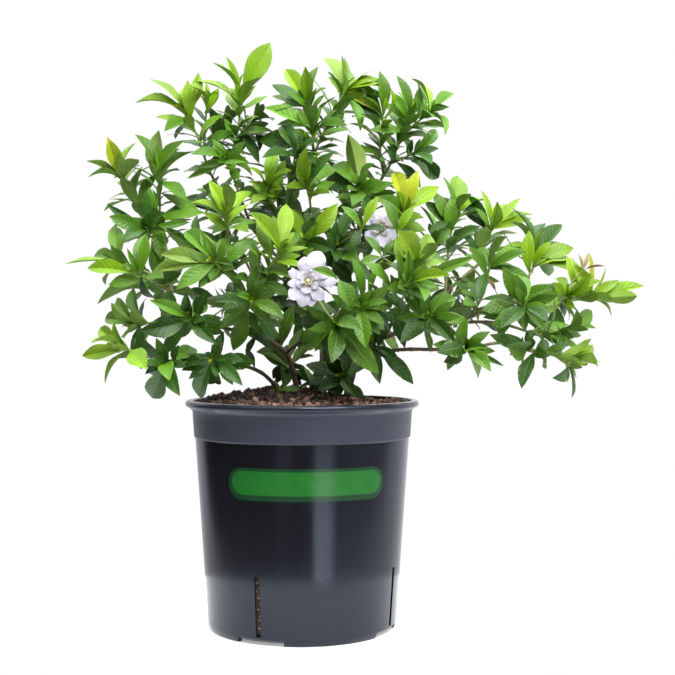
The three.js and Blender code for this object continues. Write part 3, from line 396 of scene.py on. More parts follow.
class Graph:
    """Writes the nodes of a node group or a world."""

    def __init__(self, tree: bpy.types.NodeTree) -> None:
        """Empties a node tree, to fill it."""
        self.tree = tree
        tree.nodes.clear()

    def feed(self, node: Node, inputs: dict) -> None:
        """Sets or links a node's inputs, by name or number.

        Args:
            node: the node.
            inputs: the values, by the name or number of an input.
        """
        for name, value in inputs.items():
            if isinstance(value, Value):
                self.tree.links.new(value.socket, node.inputs[name])
            else:
                node.inputs[name].default_value = value

    def node(self, kind: str, inputs: dict | None = None, **settings: object) -> Node:
        """Adds a node.

        Args:
            kind: the node's type, without its ShaderNode prefix.
            inputs: values for its inputs, by name or number.
            settings: the node's own settings.

        Returns:
            The node.
        """
        new = self.tree.nodes.new("ShaderNode" + kind)
        for name, value in settings.items():
            setattr(new, name, value)
        self.feed(new, inputs or {})
        return new

    def value(self, kind: str, inputs: dict | None = None, output: str | int = 0,
              **settings: object) -> Value:
        """Adds a node, and gives one of its outputs."""
        return Value(self, self.node(kind, inputs, **settings).outputs[output])

    def math(self, operation: str, a: Value | float, b: Value | float = 0.0) -> Value:
        """The result of a sum on two values."""
        return self.value("Math", {0: a, 1: b}, operation=operation)

    def mask(self, value: Value, low: Value | float, high: Value | float) -> Value:
        """A smooth rise from 0 where the value is low to 1 where it is high."""
        inputs = {"Value": value, "From Min": low, "From Max": high}
        return self.value("MapRange", inputs, interpolation_type="SMOOTHSTEP")

    def mix(self, share: Value | float, a: Value | str | tuple, b: Value | str | tuple,
            blend: str = "MIX") -> Value:
        """Two colours mixed, with a share of the second. A colour may be six hex digits.

        Args:
            share: how much of the second colour there is, from 0 to 1.
            a: the first colour.
            b: the second colour.
            blend: the way of mixing.

        Returns:
            The mixed colour.
        """
        colours = [(*linear(c), 1.0) if isinstance(c, str) else c for c in (a, b)]
        inputs = {0: share, 6: colours[0], 7: colours[1]}
        return self.value("Mix", inputs, 2, data_type="RGBA", blend_type=blend, clamp_factor=True)

    def noise(self, where: Value, scale: Value | float, detail: float) -> Value:
        """A soft noise from 0 to 1."""
        return self.value("TexNoise", {"Vector": where, "Scale": scale, "Detail": detail})

    def split(self, vector: Value) -> list[Value]:
        """The three parts of a vector."""
        return [Value(self, part) for part in self.node("SeparateXYZ", {0: vector}).outputs]

    def place(self) -> Value:
        """The place on the object, in metres."""
        return self.value("TexCoord", output="Object")


def start_group(name: str, inputs: dict,
                outputs: tuple[str, ...]) -> tuple[Graph, dict[str, Value], Node]:
    """Starts a node group, in which what is named Color is a colour, and the rest are numbers.

    Args:
        name: the group's name.
        inputs: its inputs' first values, by name.
        outputs: the names of its outputs.

    Returns:
        The graph to write in, its inputs by name, and the node to feed its outputs to.
    """
    tree = bpy.data.node_groups.new(name, "ShaderNodeTree")
    graph = Graph(tree)
    for way, labels in (("INPUT", inputs), ("OUTPUT", outputs)):
        for label in labels:
            kind = "NodeSocketColor" if label == "Color" else "NodeSocketFloat"
            socket = tree.interface.new_socket(label, in_out=way, socket_type=kind)
            if way == "INPUT":
                socket.default_value = inputs[label]
    start, end = tree.nodes.new("NodeGroupInput"), tree.nodes.new("NodeGroupOutput")
    return graph, {label: Value(graph, start.outputs[label]) for label in inputs}, end


def mottle_group() -> bpy.types.NodeTree:
    """Makes a colour darker and lighter in soft patches: colour times a noise about 1.

    Returns:
        The node group.
    """
    graph, given, end = start_group(
        "mottle", {"Color": (1, 1, 1, 1), "Scale": 80.0, "Amount": 0.2}, ("Color", "Value"))
    noise = graph.noise(graph.place(), given["Scale"], 4.0)
    factor = (noise - 0.5) * (given["Amount"] * 4.0) + 1.0
    patched = graph.value("VectorMath", {0: given["Color"], 3: factor}, operation="SCALE")
    graph.feed(end, {"Color": patched, "Value": noise})
    return graph.tree


def vein_group() -> bpy.types.NodeTree:
    """A blade's veins: a midrib at the middle of its width, and side veins that lean forward.

    Across runs from 0 at the midrib to 1 at the margin. A side vein lies where along, times
    the count, less the lean times across, comes to a whole number and a half.

    Returns:
        The node group.
    """
    inputs = {"Across": 0.0, "Along": 0.0, "Count": 8.0, "Lean": 1.7, "Rib": 0.08}
    graph, given, end = start_group("veins", inputs, ("Midrib", "Side", "Swell"))
    across = given["Across"]
    rib = graph.mask(across, given["Rib"] * 0.2, given["Rib"])
    phase = given["Along"] * given["Count"] - graph.math("POWER", across, 0.8) * given["Lean"]
    wave = abs(graph.math("FRACT", phase) - 0.5) * 2.0
    fade = 1.0 - graph.mask(across, 0.75, 1.0)
    side = graph.mask(wave, 0.72, 0.98) * fade
    graph.feed(end, {"Midrib": 1.0 - rib, "Side": side, "Swell": (1.0 - wave * wave) * fade})
    return graph.tree


class Paint(Graph):
    """A material's graph, with its shader and what the finishes share."""

    groups: dict[str, bpy.types.NodeTree] = {}

    def __init__(self, name: str) -> None:
        """Starts a material with its shader."""
        self.material = bpy.data.materials.new(name)
        self.material.use_nodes = True
        super().__init__(self.material.node_tree)
        self.shader = self.node("BsdfPrincipled")
        self.node("OutputMaterial", {0: Value(self, self.shader.outputs[0])})

    def attribute(self, name: str, output: str = "Color") -> Value:
        """What the piece's points carry under a name."""
        return self.value("Attribute", output=output, attribute_name=name)

    def _group(self, name: str, inputs: dict) -> dict[str, Value]:
        """Adds a shared node group, and gives its outputs by name."""
        new = self.node("Group", inputs, node_tree=self.groups[name])
        return {out.name: Value(self, out) for out in new.outputs}

    def mottled(self, colour: Value | tuple, scale: float, amount: float) -> dict[str, Value]:
        """The Color in soft darker and lighter patches, and the Value of the noise behind them."""
        return self._group("mottle", {"Color": colour, "Scale": scale, "Amount": amount})

    def blade(self, **veins: float) -> tuple[Value, Value, dict[str, Value]]:
        """Whether a place is on a blade's underside, how far along it is, and the veins there.

        Args:
            veins: the number of veins and their slope, as the group of veins has them.

        Returns:
            1 on the underside and 0 above, the place along the blade, and the group's outputs.
        """
        x, along, _ = self.split(self.value("UVMap", uv_map="pattern"))
        below = self.math("LESS_THAN", x, 0.0)
        across = abs(x + below - 0.5) * 2.0
        return below, along, self._group("veins", {**veins, "Across": across, "Along": along})

    def finish(self, colour: Value, rough: Value, relief: Value | None = None, high: float = 0.0) -> Material:
        """Gives the shader its colour, its roughness and a relief, which is high metres out at 1.

        Args:
            colour: the surface colour.
            rough: its roughness.
            relief: the height that shades it.
            high: how far out a relief of 1 is, in m.

        Returns:
            The material.
        """
        self.feed(self.shader, {"Base Color": colour, "Roughness": rough})
        if relief is not None:
            bump = self.value("Bump", {"Height": relief, "Distance": high, "Strength": 1.0})
            self.feed(self.shader, {"Normal": bump})
        return self.material


@dataclass(frozen=True)
class LeafFinish:
    """A waxy leaf: paler veins, quilted between them, a dull paler underside and dry tips."""

    vein: str = "a6c04a"
    under: str = "86a052"
    dry: str = "6d4a22"
    fading: str = "d8cf3a"
    rib_share: float = 0.6
    side_share: float = 0.22
    gloss: float = 0.36
    dull: float = 0.62
    shine: float = 0.38
    halo: float = 0.16
    quilt: float = 0.0002

    def make(self) -> Material:
        """Builds the material. A point's tint is its leaf's colour, and its mark is how much is dry.

        Returns:
            The material.
        """
        paint = Paint("leaf")
        below, along, veins = paint.blade()
        mottled = paint.mottled(paint.attribute("tint"), 60.0, 0.14)
        skin = mottled["Color"]
        pale = paint.mix(0.35, skin, self.vein)
        ribs = paint.math("MAXIMUM", veins["Midrib"] * self.rib_share, veins["Side"] * self.side_share)
        top = paint.mix(ribs, skin, pale)
        top = paint.mix((1.0 - paint.mask(along, 0.02, 0.2)) * 0.6, top, pale)
        beneath = paint.mix(veins["Midrib"] * 0.5, paint.mix(0.42, skin, self.under), self.vein)
        colour = paint.mix(below, top, beneath)
        mark = paint.attribute("mark", "Fac")
        marked = paint.math("GREATER_THAN", mark, 0.01)
        edge = along + (mottled["Value"] - 0.5) * 0.35
        reach = 1.04 - mark
        colour = paint.mix(paint.mask(edge, reach - self.halo, reach) * marked, colour, self.fading)
        colour = paint.mix(paint.mask(edge, reach, reach + 0.06) * marked, colour, self.dry)
        paint.feed(paint.shader, {"Specular IOR Level": self.shine})
        rough = below * (self.dull - self.gloss) + self.gloss + mottled["Value"] * 0.1
        return paint.finish(colour, rough, veins["Swell"] - veins["Midrib"] * 1.2, self.quilt)


@dataclass(frozen=True)
class PetalFinish:
    """A soft matt petal: white, faintly veined, cream toward its foot."""

    white: str = "dad7e3"
    cream: str = "d6d2b2"
    vein: str = "a8a4b8"
    relief: float = 0.0002

    def make(self) -> Material:
        """Builds the material from the petal's pattern, across and along.

        Returns:
            The material.
        """
        paint = Paint("petal")
        _, along, veins = paint.blade(Count=5.0, Lean=4.5, Rib=0.05)
        colour = paint.mix(1.0 - paint.mask(along, 0.1, 0.5), self.white, self.cream)
        colour = paint.mix(1.0, colour, paint.attribute("tint"), blend="MULTIPLY")
        colour = paint.mix(veins["Side"] * 0.3, colour, self.vein)
        rough = paint.mottled((1, 1, 1, 1), 150.0, 0.2)["Value"] * 0.15 + 0.45
        return paint.finish(colour, rough, veins["Swell"], self.relief)


@dataclass(frozen=True)
class RoughFinish:
    """A dull natural finish in the tint of each point: bark, green shoots, soil and dry scraps."""

    name: str
    patches: float
    amount: float
    roughness: float
    grain: float
    relief: float
    streaked: float = 1.0

    def make(self) -> Material:
        """Builds the material: the tint in soft patches, with a grain that may run along Z.

        Returns:
            The material.
        """
        paint = Paint(self.name)
        colour = paint.mottled(paint.attribute("tint"), self.patches, self.amount)["Color"]
        colour = paint.mottled(colour, self.patches * 4, self.amount * 0.7)["Color"]
        stretch = paint.value("Mapping", {"Vector": paint.place(), "Scale": (1, 1, 1 / self.streaked)})
        grain = paint.noise(stretch, self.grain, 6.0)
        return paint.finish(colour, grain * 0.15 + (self.roughness - 0.07), grain, self.relief)


@dataclass(frozen=True)
class PotFinish:
    """Moulded dark plastic: a glossy body, a half matt band and lip, faint flow marks and scuffs."""

    body: str = "151519"
    band: str = "3a3c46"
    band_foot: float = 0.2027
    lip: str = "26272f"
    lip_foot: float = 0.2325
    sheen: tuple[float, float, float, float] = (0.64, 0.74, 0.92, 1)
    gloss: float = 0.1
    band_matt: float = 0.26
    relief: float = 0.00012

    def make(self) -> Material:
        """Builds the material: what it is depends on the height, as on the real moulding.

        Returns:
            The material.
        """
        paint = Paint("pot_plastic")
        place = paint.place()
        height = paint.split(place)[2]
        band = paint.mask(height, self.band_foot - 0.0012, self.band_foot + 0.0012)
        lip = paint.mask(height, self.lip_foot - 0.001, self.lip_foot + 0.001)
        colour = paint.mix(lip, paint.mix(band, self.body, self.band), self.lip)
        colour = paint.mottled(colour, 22.0, 0.12)["Color"]
        flow = paint.value("Mapping", {"Vector": place, "Scale": (1, 1, 0.12)})
        streak = paint.noise(flow, 55.0, 4.0)
        scuff = paint.mask(paint.noise(place, 260.0, 8.0), 0.6, 0.75)
        paint.feed(paint.shader, {"Specular Tint": self.sheen})
        rough = streak * 0.1 + self.gloss + scuff * 0.12 + (band - lip) * self.band_matt
        return paint.finish(colour, rough, streak, self.relief)


@dataclass(frozen=True)
class InkFinish:
    """Smooth printed ink over the plastic."""

    name: str
    colour: str
    gloss: float = 0.16

    def make(self) -> Material:
        """Builds the material: an even colour, slightly worn in patches.

        Returns:
            The material.
        """
        paint = Paint(self.name)
        tint = paint.mix(1.0, self.colour, paint.attribute("tint"), blend="MULTIPLY")
        mottled = paint.mottled(tint, 90.0, 0.1)
        return paint.finish(mottled["Color"], mottled["Value"] * 0.12 + self.gloss)


class Paints:
    """Every material of the plant and its pot."""

    def __init__(self) -> None:
        """Makes the node groups and all the materials."""
        Paint.groups = {"mottle": mottle_group(), "veins": vein_group()}
        self.leaf = LeafFinish().make()
        self.petal = PetalFinish().make()
        self.shoot = RoughFinish("green_shoot", 90.0, 0.12, 0.5, 400.0, 0.0002, 4.0).make()
        self.bark = RoughFinish("bark", 140.0, 0.25, 0.85, 500.0, 0.0006, 3.0).make()
        self.soil = RoughFinish("soil", 160.0, 0.35, 0.95, 900.0, 0.0008).make()
        self.stamen = RoughFinish("stamen", 300.0, 0.15, 0.7, 900.0, 0.0001).make()
        self.pot = PotFinish().make()
        # The rim's dark green is the label's own edge, and where it is wider below the bar it is a painted
        # shadow
        self.label_rim = InkFinish("label_rim", "133b20").make()
        self.label = InkFinish("label", "1e6824").make()


# ---------------------------------------------------------------- the crown's layout
class Tone(Enum):
    """A leaf's own colour, before its age, chance and the painted light and shade of its place in the crown
    change it.
    """

    LIME = "7ea615"
    YELLOW = "a9b422"
    GREEN = "56841a"
    DARK = "305a15"
    PALE = "81a03f"
    STRAW = "b3a678"
    BROWN = "5d4526"

    @property
    def light(self) -> Array:
        """The colour in linear light."""
        return linear(self.value)


# The tones' first letters, for the lists
L, Y, G, D, P, S, B = Tone

# Woody branches: [name, its stem, radius at the root and at the tip, centre line]
BRANCHES = [
  ['A', 'front', 3.1, 1.9,
    [[299, 404, 8], [296, 385, 6], [293, 372, 0], [286, 353, -10], [262, 335, -30], [250, 318, -38],
     [240, 300, -45], [230, 262, -45], [228, 236, -42]]],
  ['F', 'front', 2.0, 1.5,
    [[262, 335, -30], [225, 328, -46], [196, 319, -50], [178, 309, -44], [171, 288, -22], [166, 250, 14]]],
  ['J', 'front', 1.9, 1.4,
    [[286, 353, -10], [305, 338, -48], [330, 321, -78], [352, 309, -90]]],
  ['C', 'centre', 3.4, 1.8,
    [[319, 400, 24], [320, 382, 28], [322, 350, 42], [313, 312, 55], [300, 268, 60], [290, 225, 54],
     [292, 198, 50]]],
  ['D', 'centre', 2.0, 1.5,
    [[306, 288, 58], [262, 240, 72], [234, 206, 70]]],
  ['I', 'centre', 2.4, 1.6,
    [[322, 350, 42], [344, 292, 78], [364, 234, 86], [370, 203, 80]]],
  ['R', 'centre', 2.0, 1.4,
    [[318, 330, 48], [292, 312, 96], [262, 292, 122], [246, 262, 136]]],
  ['B', 'right', 3.5, 1.8,
    [[347, 396, 16], [351, 380, 14], [358, 361, 10], [369, 345, 5], [400, 332, -10], [445, 325, -25],
     [470, 317, -30], [505, 299, -30], [545, 300, -26]]],
  ['H', 'right', 1.8, 1.3,
    [[455, 322, -27], [498, 323, -60], [532, 333, -70]]],
  ['K', 'right', 2.0, 1.4,
    [[425, 328, -18], [436, 304, 16], [460, 280, 44], [474, 268, 54]]],
  ['L', 'right', 1.8, 1.3,
    [[505, 299, -30], [524, 285, 0], [531, 272, 20]]],
  ['N', 'right', 2.0, 1.4,
    [[369, 345, 5], [392, 312, 70], [412, 286, 112]]],
  ['E', 'left', 2.3, 1.3,
    [[279, 400, -2], [276, 386, -5], [262, 373, -20], [245, 366, -36], [215, 360, -70],
     [166, 361, -93], [140, 354, -98]]],
  ['G', 'right', 2.3, 1.4,
    [[358, 363, 10], [366, 359, -4], [379, 355, -25], [396, 350, -45], [465, 349, -79],
     [500, 343, -90], [528, 350, -95]]],
]

# Leafy stems: [name, what it leaves, colour of its young leaves, centre line,
# and its leaves, each with its tip as [across, down, colour]]
LEAFY_STEMS = [
  ['crown_left', 'D', L,
    [[234, 206, 70], [213, 178, 65], [204, 156, 60], [196, 133, 50], [186, 112, 42]],
    [[135, 101, L], [150, 79, L], [188, 86, L], [164, 132, G], [176, 140, D]]],
  ['crown_left_b', 'crown_left', L,
    [[204, 156, 60], [205, 128, 62], [207, 106, 54]],
    [[190, 84, L], [200, 88, Y], [206, 82, L], [219, 88, L]]],
  ['crown_left_c', 'crown_left', D,
    [[204, 156, 60], [216, 138, 78], [220, 126, 84]],
    [[232, 108, D], [205, 112, D]]],
  ['crown_peak', 'D', L,
    [[252, 229, 71], [240, 196, 56], [231, 162, 54], [238, 130, 50], [241, 96, 43]],
    [[270, 43, L], [212, 63, L], [198, 79, L], [226, 57, L], [236, 61, L], [262, 76, L]]],
  ['crown_peak_b', 'crown_peak', D,
    [[235, 140, 53], [246, 128, 62], [253, 120, 68]],
    [[259, 98, D], [264, 104, D], [272, 122, D]]],
  ['crown_peak_c', 'crown_peak', G,
    [[234, 176, 55], [230, 166, 38], [226, 160, 24]],
    [[190, 155, G], [249, 162, G], [252, 176, G], [187, 179, G]]],
  ['crown_top', 'C', L,
    [[292, 198, 50], [305, 175, 50], [320, 140, 55], [335, 110, 60], [345, 90, 60]],
    [[325, 56, L], [341, 55, L], [345, 57, L], [327, 72, G], [350, 70, G], [374, 68, L],
     [376, 82, G]]],
  ['crown_top_b', 'crown_top', G,
    [[322, 136, 56], [313, 118, 46], [306, 102, 40]],
    [[286, 70, L], [305, 66, L], [318, 66, G], [327, 88, G], [272, 84, D]]],
  ['crown_top_c', 'crown_top', G,
    [[314, 155, 52], [313, 140, 32], [313, 128, 20]],
    [[264, 107, G], [308, 106, G], [258, 140, D], [347, 125, G]]],
  ['upper_right', 'I', G,
    [[370, 203, 80], [390, 165, 70], [400, 140, 65], [411, 115, 58]],
    [[417, 82, G], [429, 88, G], [398, 92, G]]],
  ['upper_right_b', 'upper_right', L,
    [[385, 176, 72], [380, 150, 66], [382, 132, 64], [383, 114, 62]],
    [[337, 90, Y], [379, 77, L], [391, 88, L], [352, 118, D]]],
  ['upper_right_c', 'upper_right', G,
    [[402, 136, 64], [420, 120, 55], [432, 111, 50]],
    [[454, 92, G], [412, 78, L], [446, 134, G]]],
  ['upper_right_d', 'upper_right', D,
    [[391, 163, 70], [404, 158, 54], [414, 152, 40]],
    [[437, 130, G], [432, 164, D], [439, 178, D], [400, 137, G]]],
  ['head_left', 'C', D,
    [[297, 255, 58], [286, 215, 24], [290, 175, 4], [297, 152, 0]],
    [[282, 126, D], [320, 140, D], [262, 158, D], [316, 164, D]]],
  ['mid_left_back', 'C', L,
    [[290, 225, 54], [274, 206, 18], [266, 188, -12]],
    [[275, 150, L], [248, 168, L], [291, 170, L], [240, 196, G]]],
  ['head_right', 'C', L,
    [[294, 240, 56], [310, 212, 16], [306, 184, -22]],
    [[306, 147, L], [318, 152, L], [334, 152, D], [333, 168, G], [330, 188, G]]],
  ['right_back', 'I', G,
    [[368, 212, 82], [364, 200, 46], [358, 187, 12]],
    [[334, 163, G], [326, 180, D], [373, 163, G], [348, 134, P], [384, 182, G]]],
  ['shoulder', 'I', L,
    [[364, 234, 86], [390, 226, 50], [405, 210, 12]],
    [[395, 172, Y], [418, 170, Y], [439, 186, L], [380, 196, G]]],
  ['shoulder_right', 'K', L,
    [[446, 293, 28], [448, 252, 42], [455, 213, 44]],
    [[457, 175, L], [471, 193, L], [484, 199, L], [436, 198, G], [430, 232, D]]],
  ['right_high', 'K', L,
    [[474, 268, 54], [484, 248, 60], [492, 228, 62]],
    [[482, 190, L], [497, 201, L], [506, 203, L], [520, 198, L], [476, 207, G],
     [468, 236, D]]],
  ['right_tip', 'L', G,
    [[531, 272, 20], [534, 262, 28], [535, 250, 32]],
    [[512, 208, D], [510, 222, G], [543, 222, D], [562, 224, D], [569, 247, G],
     [553, 270, G], [501, 254, G]]],
  ['far_right', 'B', L,
    [[545, 300, -26], [572, 300, -24], [597, 298, -22]],
    [[644, 287, L], [638, 296, L], [612, 316, G], [579, 255, Y], [589, 253, Y],
     [606, 267, Y]]],
  ['far_right_b', 'far_right', L,
    [[560, 300, -25], [564, 299, -40], [567, 297, -52]],
    [[591, 274, L], [556, 279, L], [548, 290, G]]],
  ['right_low', 'H', G,
    [[532, 333, -70], [552, 332, -75], [569, 329, -78]],
    [[577, 311, G], [593, 311, G], [596, 329, G], [532, 322, D], [556, 352, D]]],
  ['low_right_tip', 'G', L,
    [[528, 350, -95], [552, 355, -96], [572, 361, -96]],
    [[594, 357, L], [597, 367, L], [572, 398, D], [552, 378, D]]],
  ['low_right_tip_b', 'low_right_tip', D,
    [[540, 353, -96], [534, 350, -108], [526, 346, -118]],
    [[525, 366, D], [508, 346, G], [540, 328, G]]],
  ['low_right', 'G', G,
    [[452, 349, -72], [462, 350, -94], [468, 351, -112]],
    [[491, 372, G], [477, 378, G], [487, 347, G], [504, 366, D], [438, 352, D]]],
  ['right_mid', 'B', G,
    [[470, 317, -30], [484, 292, -42], [490, 264, -50]],
    [[508, 236, G], [521, 249, G], [470, 251, G], [478, 300, D]]],
  ['front_right', 'J', L,
    [[352, 309, -90], [378, 296, -97], [400, 284, -100], [418, 264, -102]],
    [[397, 229, L], [431, 234, L], [438, 243, L], [446, 262, G], [386, 252, D]]],
  ['front_right_b', 'front_right', G,
    [[384, 293, -98], [400, 287, -114], [412, 284, -128]],
    [[449, 274, L], [424, 302, G], [380, 262, G], [476, 256, G], [398, 316, D]]],
  ['under_bloom', 'J', G,
    [[330, 321, -78], [334, 322, -100], [337, 325, -122]],
    [[303, 346, G], [331, 364, G], [379, 374, G], [362, 330, G], [300, 322, D]]],
  ['beside_bloom', 'J', G,
    [[348, 311, -88], [355, 309, -110], [360, 307, -132]],
    [[366, 348, G], [342, 288, D], [392, 306, G], [388, 332, D]]],
  ['left_high', 'F', G,
    [[166, 250, 14], [160, 220, 36], [160, 192, 46], [159, 174, 50]],
    [[134, 135, G], [158, 131, P], [180, 149, G], [195, 152, G], [187, 202, G]]],
  ['left_high_b', 'left_high', L,
    [[161, 228, 30], [140, 214, 46], [134, 198, 64], [126, 187, 72], [119, 173, 76]],
    [[107, 137, Y], [135, 142, L], [86, 162, L], [88, 176, G], [136, 157, P]]],
  ['left_high_c', 'left_high', G,
    [[161, 226, 30], [152, 226, 8], [146, 230, -8]],
    [[109, 216, G], [123, 241, D], [106, 204, D], [163, 212, D], [190, 222, G],
     [146, 190, D]]],
  ['left', 'F', G,
    [[170, 284, -18], [142, 270, -22], [118, 261, -28]],
    [[115, 225, G], [65, 265, L], [93, 254, G], [104, 284, D]]],
  ['left_front', 'F', G,
    [[172, 291, -26], [152, 282, -56], [136, 273, -80]],
    [[88, 269, L], [146, 234, G], [127, 248, G], [158, 300, D]]],
  ['left_under', 'F', D,
    [[172, 292, -26], [162, 288, 20], [150, 284, 52]],
    [[97, 302, G], [138, 252, D], [114, 290, D]]],
  ['left_low', 'F', G,
    [[188, 315, -48], [158, 322, -58], [134, 324, -66]],
    [[110, 303, G], [118, 298, G], [104, 318, G], [134, 288, G], [147, 298, D]]],
  ['low_left_tip', 'E', L,
    [[140, 354, -98], [130, 350, -100], [121, 347, -102]],
    [[100, 328, L], [91, 344, L], [82, 356, L], [105, 384, L], [146, 368, L]]],
  ['low_left', 'E', D,
    [[178, 361, -88], [170, 363, -104], [165, 364, -118]],
    [[153, 398, D], [158, 378, G], [170, 382, G], [180, 396, D], [196, 350, G]]],
  ['front_left_low', 'F', D,
    [[200, 320, -49], [195, 320, -76], [190, 319, -102]],
    [[139, 331, D], [162, 356, D], [150, 300, G], [216, 344, D], [205, 296, G]]],
  ['rim_left', 'E', D,
    [[222, 361, -62], [217, 359, -86], [213, 358, -108]],
    [[184, 366, D], [199, 399, D], [215, 385, D], [243, 386, D]]],
  ['left_mid', 'A', L,
    [[228, 236, -42], [228, 228, -46], [228, 216, -52]],
    [[226, 182, L], [252, 190, L], [190, 202, L], [209, 180, L], [258, 222, G]]],
  ['centre_left', 'A', L,
    [[240, 300, -45], [262, 275, -66], [282, 250, -80]],
    [[250, 212, L], [286, 204, L], [272, 216, L], [300, 232, G], [256, 258, G]]],
  ['centre_top', 'C', L,
    [[298, 260, 60], [308, 250, 20], [306, 240, -24]],
    [[289, 210, L], [338, 203, L], [318, 222, G], [334, 250, D]]],
  ['front_left', 'A', G,
    [[234, 280, -46], [222, 270, -70], [213, 261, -92]],
    [[186, 232, G], [160, 254, P], [152, 272, P], [176, 290, G], [228, 236, G],
     [240, 262, D]]],
  ['soil_front', 'A', D,
    [[292, 370, -1], [288, 367, 24], [284, 362, 44]],
    [[282, 390, D], [256, 352, D], [312, 386, G]]],
  ['soil_right', 'G', D,
    [[379, 355, -25], [377, 349, -46], [374, 344, -64]],
    [[414, 384, D], [380, 384, D], [400, 362, D]]],
  ['foot_right', 'B', D,
    [[350, 384, 14], [345, 382, -8], [341, 377, -28]],
    [[357, 398, D], [353, 368, G], [322, 368, D], [318, 390, D]]],
  ['front', 'A', G,
    [[246, 311, -41], [250, 306, -76], [252, 300, -110]],
    [[233, 351, G], [284, 318, G], [214, 302, D], [262, 264, G], [276, 340, D]]],
  ['heart', 'C', D,
    [[302, 275, 59], [330, 258, 10], [336, 246, -30]],
    [[352, 212, D], [368, 250, D], [318, 284, D]]],
  ['right_front', 'B', G,
    [[420, 329, -17], [426, 322, -60], [430, 316, -98]],
    [[456, 344, D], [400, 344, D], [453, 296, G], [418, 282, D], [470, 322, G]]],
  ['right_fork', 'B', G,
    [[510, 299, -30], [520, 304, -62], [526, 308, -92]],
    [[548, 322, D], [500, 328, D], [520, 276, G], [560, 296, G]]],
  ['back_left', 'R', G,
    [[246, 262, 136], [232, 238, 142], [222, 212, 144]],
    [[196, 190, G], [240, 172, G], [190, 226, D]]],
  ['back_left_b', 'back_left', G,
    [[236, 246, 140], [218, 250, 116], [200, 246, 104]],
    [[164, 226, G], [172, 268, D], [196, 214, G]]],
  ['back_low', 'R', D,
    [[262, 292, 122], [240, 304, 146], [224, 306, 160]],
    [[186, 290, D], [232, 340, D]]],
  ['back_centre', 'R', D,
    [[282, 306, 104], [290, 270, 140], [296, 236, 154]],
    [[276, 196, D], [320, 208, D]]],
  ['back_centre_b', 'back_centre', D,
    [[288, 280, 132], [308, 284, 160], [318, 280, 174]],
    [[340, 252, G], [300, 318, D], [352, 296, D]]],
  ['back_high', 'I', G,
    [[362, 240, 86], [348, 214, 120], [340, 188, 132]],
    [[322, 160, D], [362, 156, G]]],
  ['back_right', 'N', G,
    [[412, 286, 112], [430, 262, 124], [438, 240, 128]],
    [[420, 206, G], [462, 226, G], [470, 262, D]]],
  ['back_right_b', 'back_right', G,
    [[426, 268, 122], [404, 256, 150], [392, 240, 162]],
    [[372, 206, G], [416, 214, D], [360, 250, D], [410, 270, D]]],
  ['back_right_low', 'N', D,
    [[398, 305, 84], [440, 312, 112], [466, 314, 122]],
    [[506, 316, D], [458, 352, D], [470, 286, G]]],
  ['back_right_low_b', 'back_right_low', G,
    [[440, 312, 112], [450, 300, 136], [462, 290, 152]],
    [[500, 282, G], [440, 262, D], [478, 322, D]]],
  ['back_low_mid', 'N', D,
    [[388, 318, 58], [372, 326, 110], [366, 324, 140]],
    [[340, 350, D], [388, 360, D], [352, 290, D]]],
]


# How far the crown reaches at a few heights of the sheet: [down, left, right]
REACH = np.array([[48, 240, 280], [75, 190, 400], [100, 125, 455], [150, 92, 446], [190, 84, 490],
                  [230, 88, 565], [265, 62, 608], [300, 86, 644], [340, 78, 604], [375, 100, 588],
                  [402, 150, 575]])
# Places where the view goes through the crown: [across, down, radius]
CLEARINGS = np.array([[306, 204, 11], [326, 203, 9], [250, 385, 9], [319, 243, 8], [470, 372, 15],
                      [552, 374, 11], [178, 388, 13], [268, 370, 9], [374, 374, 11], [148, 308, 11],
                      [113, 190, 9], [128, 212, 9], [108, 272, 9], [450, 152, 10], [225, 178, 6],
                      [484, 290, 10], [491, 281, 12], [470, 224, 6], [336, 312, 4], [345, 268, 3],
                      [202, 116, 9], [190, 162, 9], [178, 182, 9], [197, 185, 8], [336, 172, 8],
                      [130, 252, 9], [148, 270, 8], [566, 236, 8], [410, 350, 8], [386, 366, 9],
                      [584, 306, 8], [226, 104, 6], [250, 78, 6]])
# Dense places of the crown: [across, down, radius, how many leaves, their colour]
THICKETS = [
  [372, 76, 16, 3, L], [386, 100, 18, 4, G], [366, 114, 12, 2, D], [348, 118, 12, 3, G],
  [250, 146, 12, 3, D], [184, 210, 16, 4, G], [196, 206, 10, 2, D], [248, 250, 12, 3, G],
  [250, 350, 11, 3, D], [290, 292, 10, 3, D], [284, 312, 14, 4, D], [300, 326, 14, 4, G],
  [322, 320, 12, 3, D], [312, 372, 12, 3, D], [334, 366, 14, 6, D], [320, 386, 10, 3, D],
  [330, 352, 12, 3, D], [338, 390, 8, 2, D], [300, 312, 10, 3, D], [284, 390, 8, 2, G],
  [452, 206, 14, 3, G], [472, 236, 14, 3, D], [450, 226, 12, 2, G], [480, 326, 12, 2, D],
  [512, 326, 14, 3, G], [520, 220, 10, 2, L], [530, 256, 14, 3, L], [556, 262, 16, 4, L],
  [582, 276, 16, 4, L], [568, 292, 14, 3, D], [374, 222, 12, 3, G], [388, 236, 10, 2, D],
  [362, 236, 10, 2, D], [350, 330, 12, 3, D], [420, 300, 14, 3, D], [400, 322, 12, 2, D],
  [232, 300, 12, 2, D], [268, 330, 12, 2, D], [210, 250, 12, 2, G], [150, 250, 12, 2, G],
  [508, 266, 9, 3, G], [374, 88, 12, 3, G], [392, 128, 10, 2, G], [168, 156, 12, 3, G],
  [330, 344, 10, 3, D], [545, 328, 12, 3, G], [378, 270, 10, 3, G], [436, 206, 10, 2, G],
  [470, 212, 10, 2, D], [130, 346, 12, 3, D], [186, 366, 9, 2, D], [148, 106, 10, 2, L],
  [184, 92, 10, 2, L], [230, 132, 10, 2, G], [250, 148, 10, 2, D], [290, 112, 10, 2, G],
]
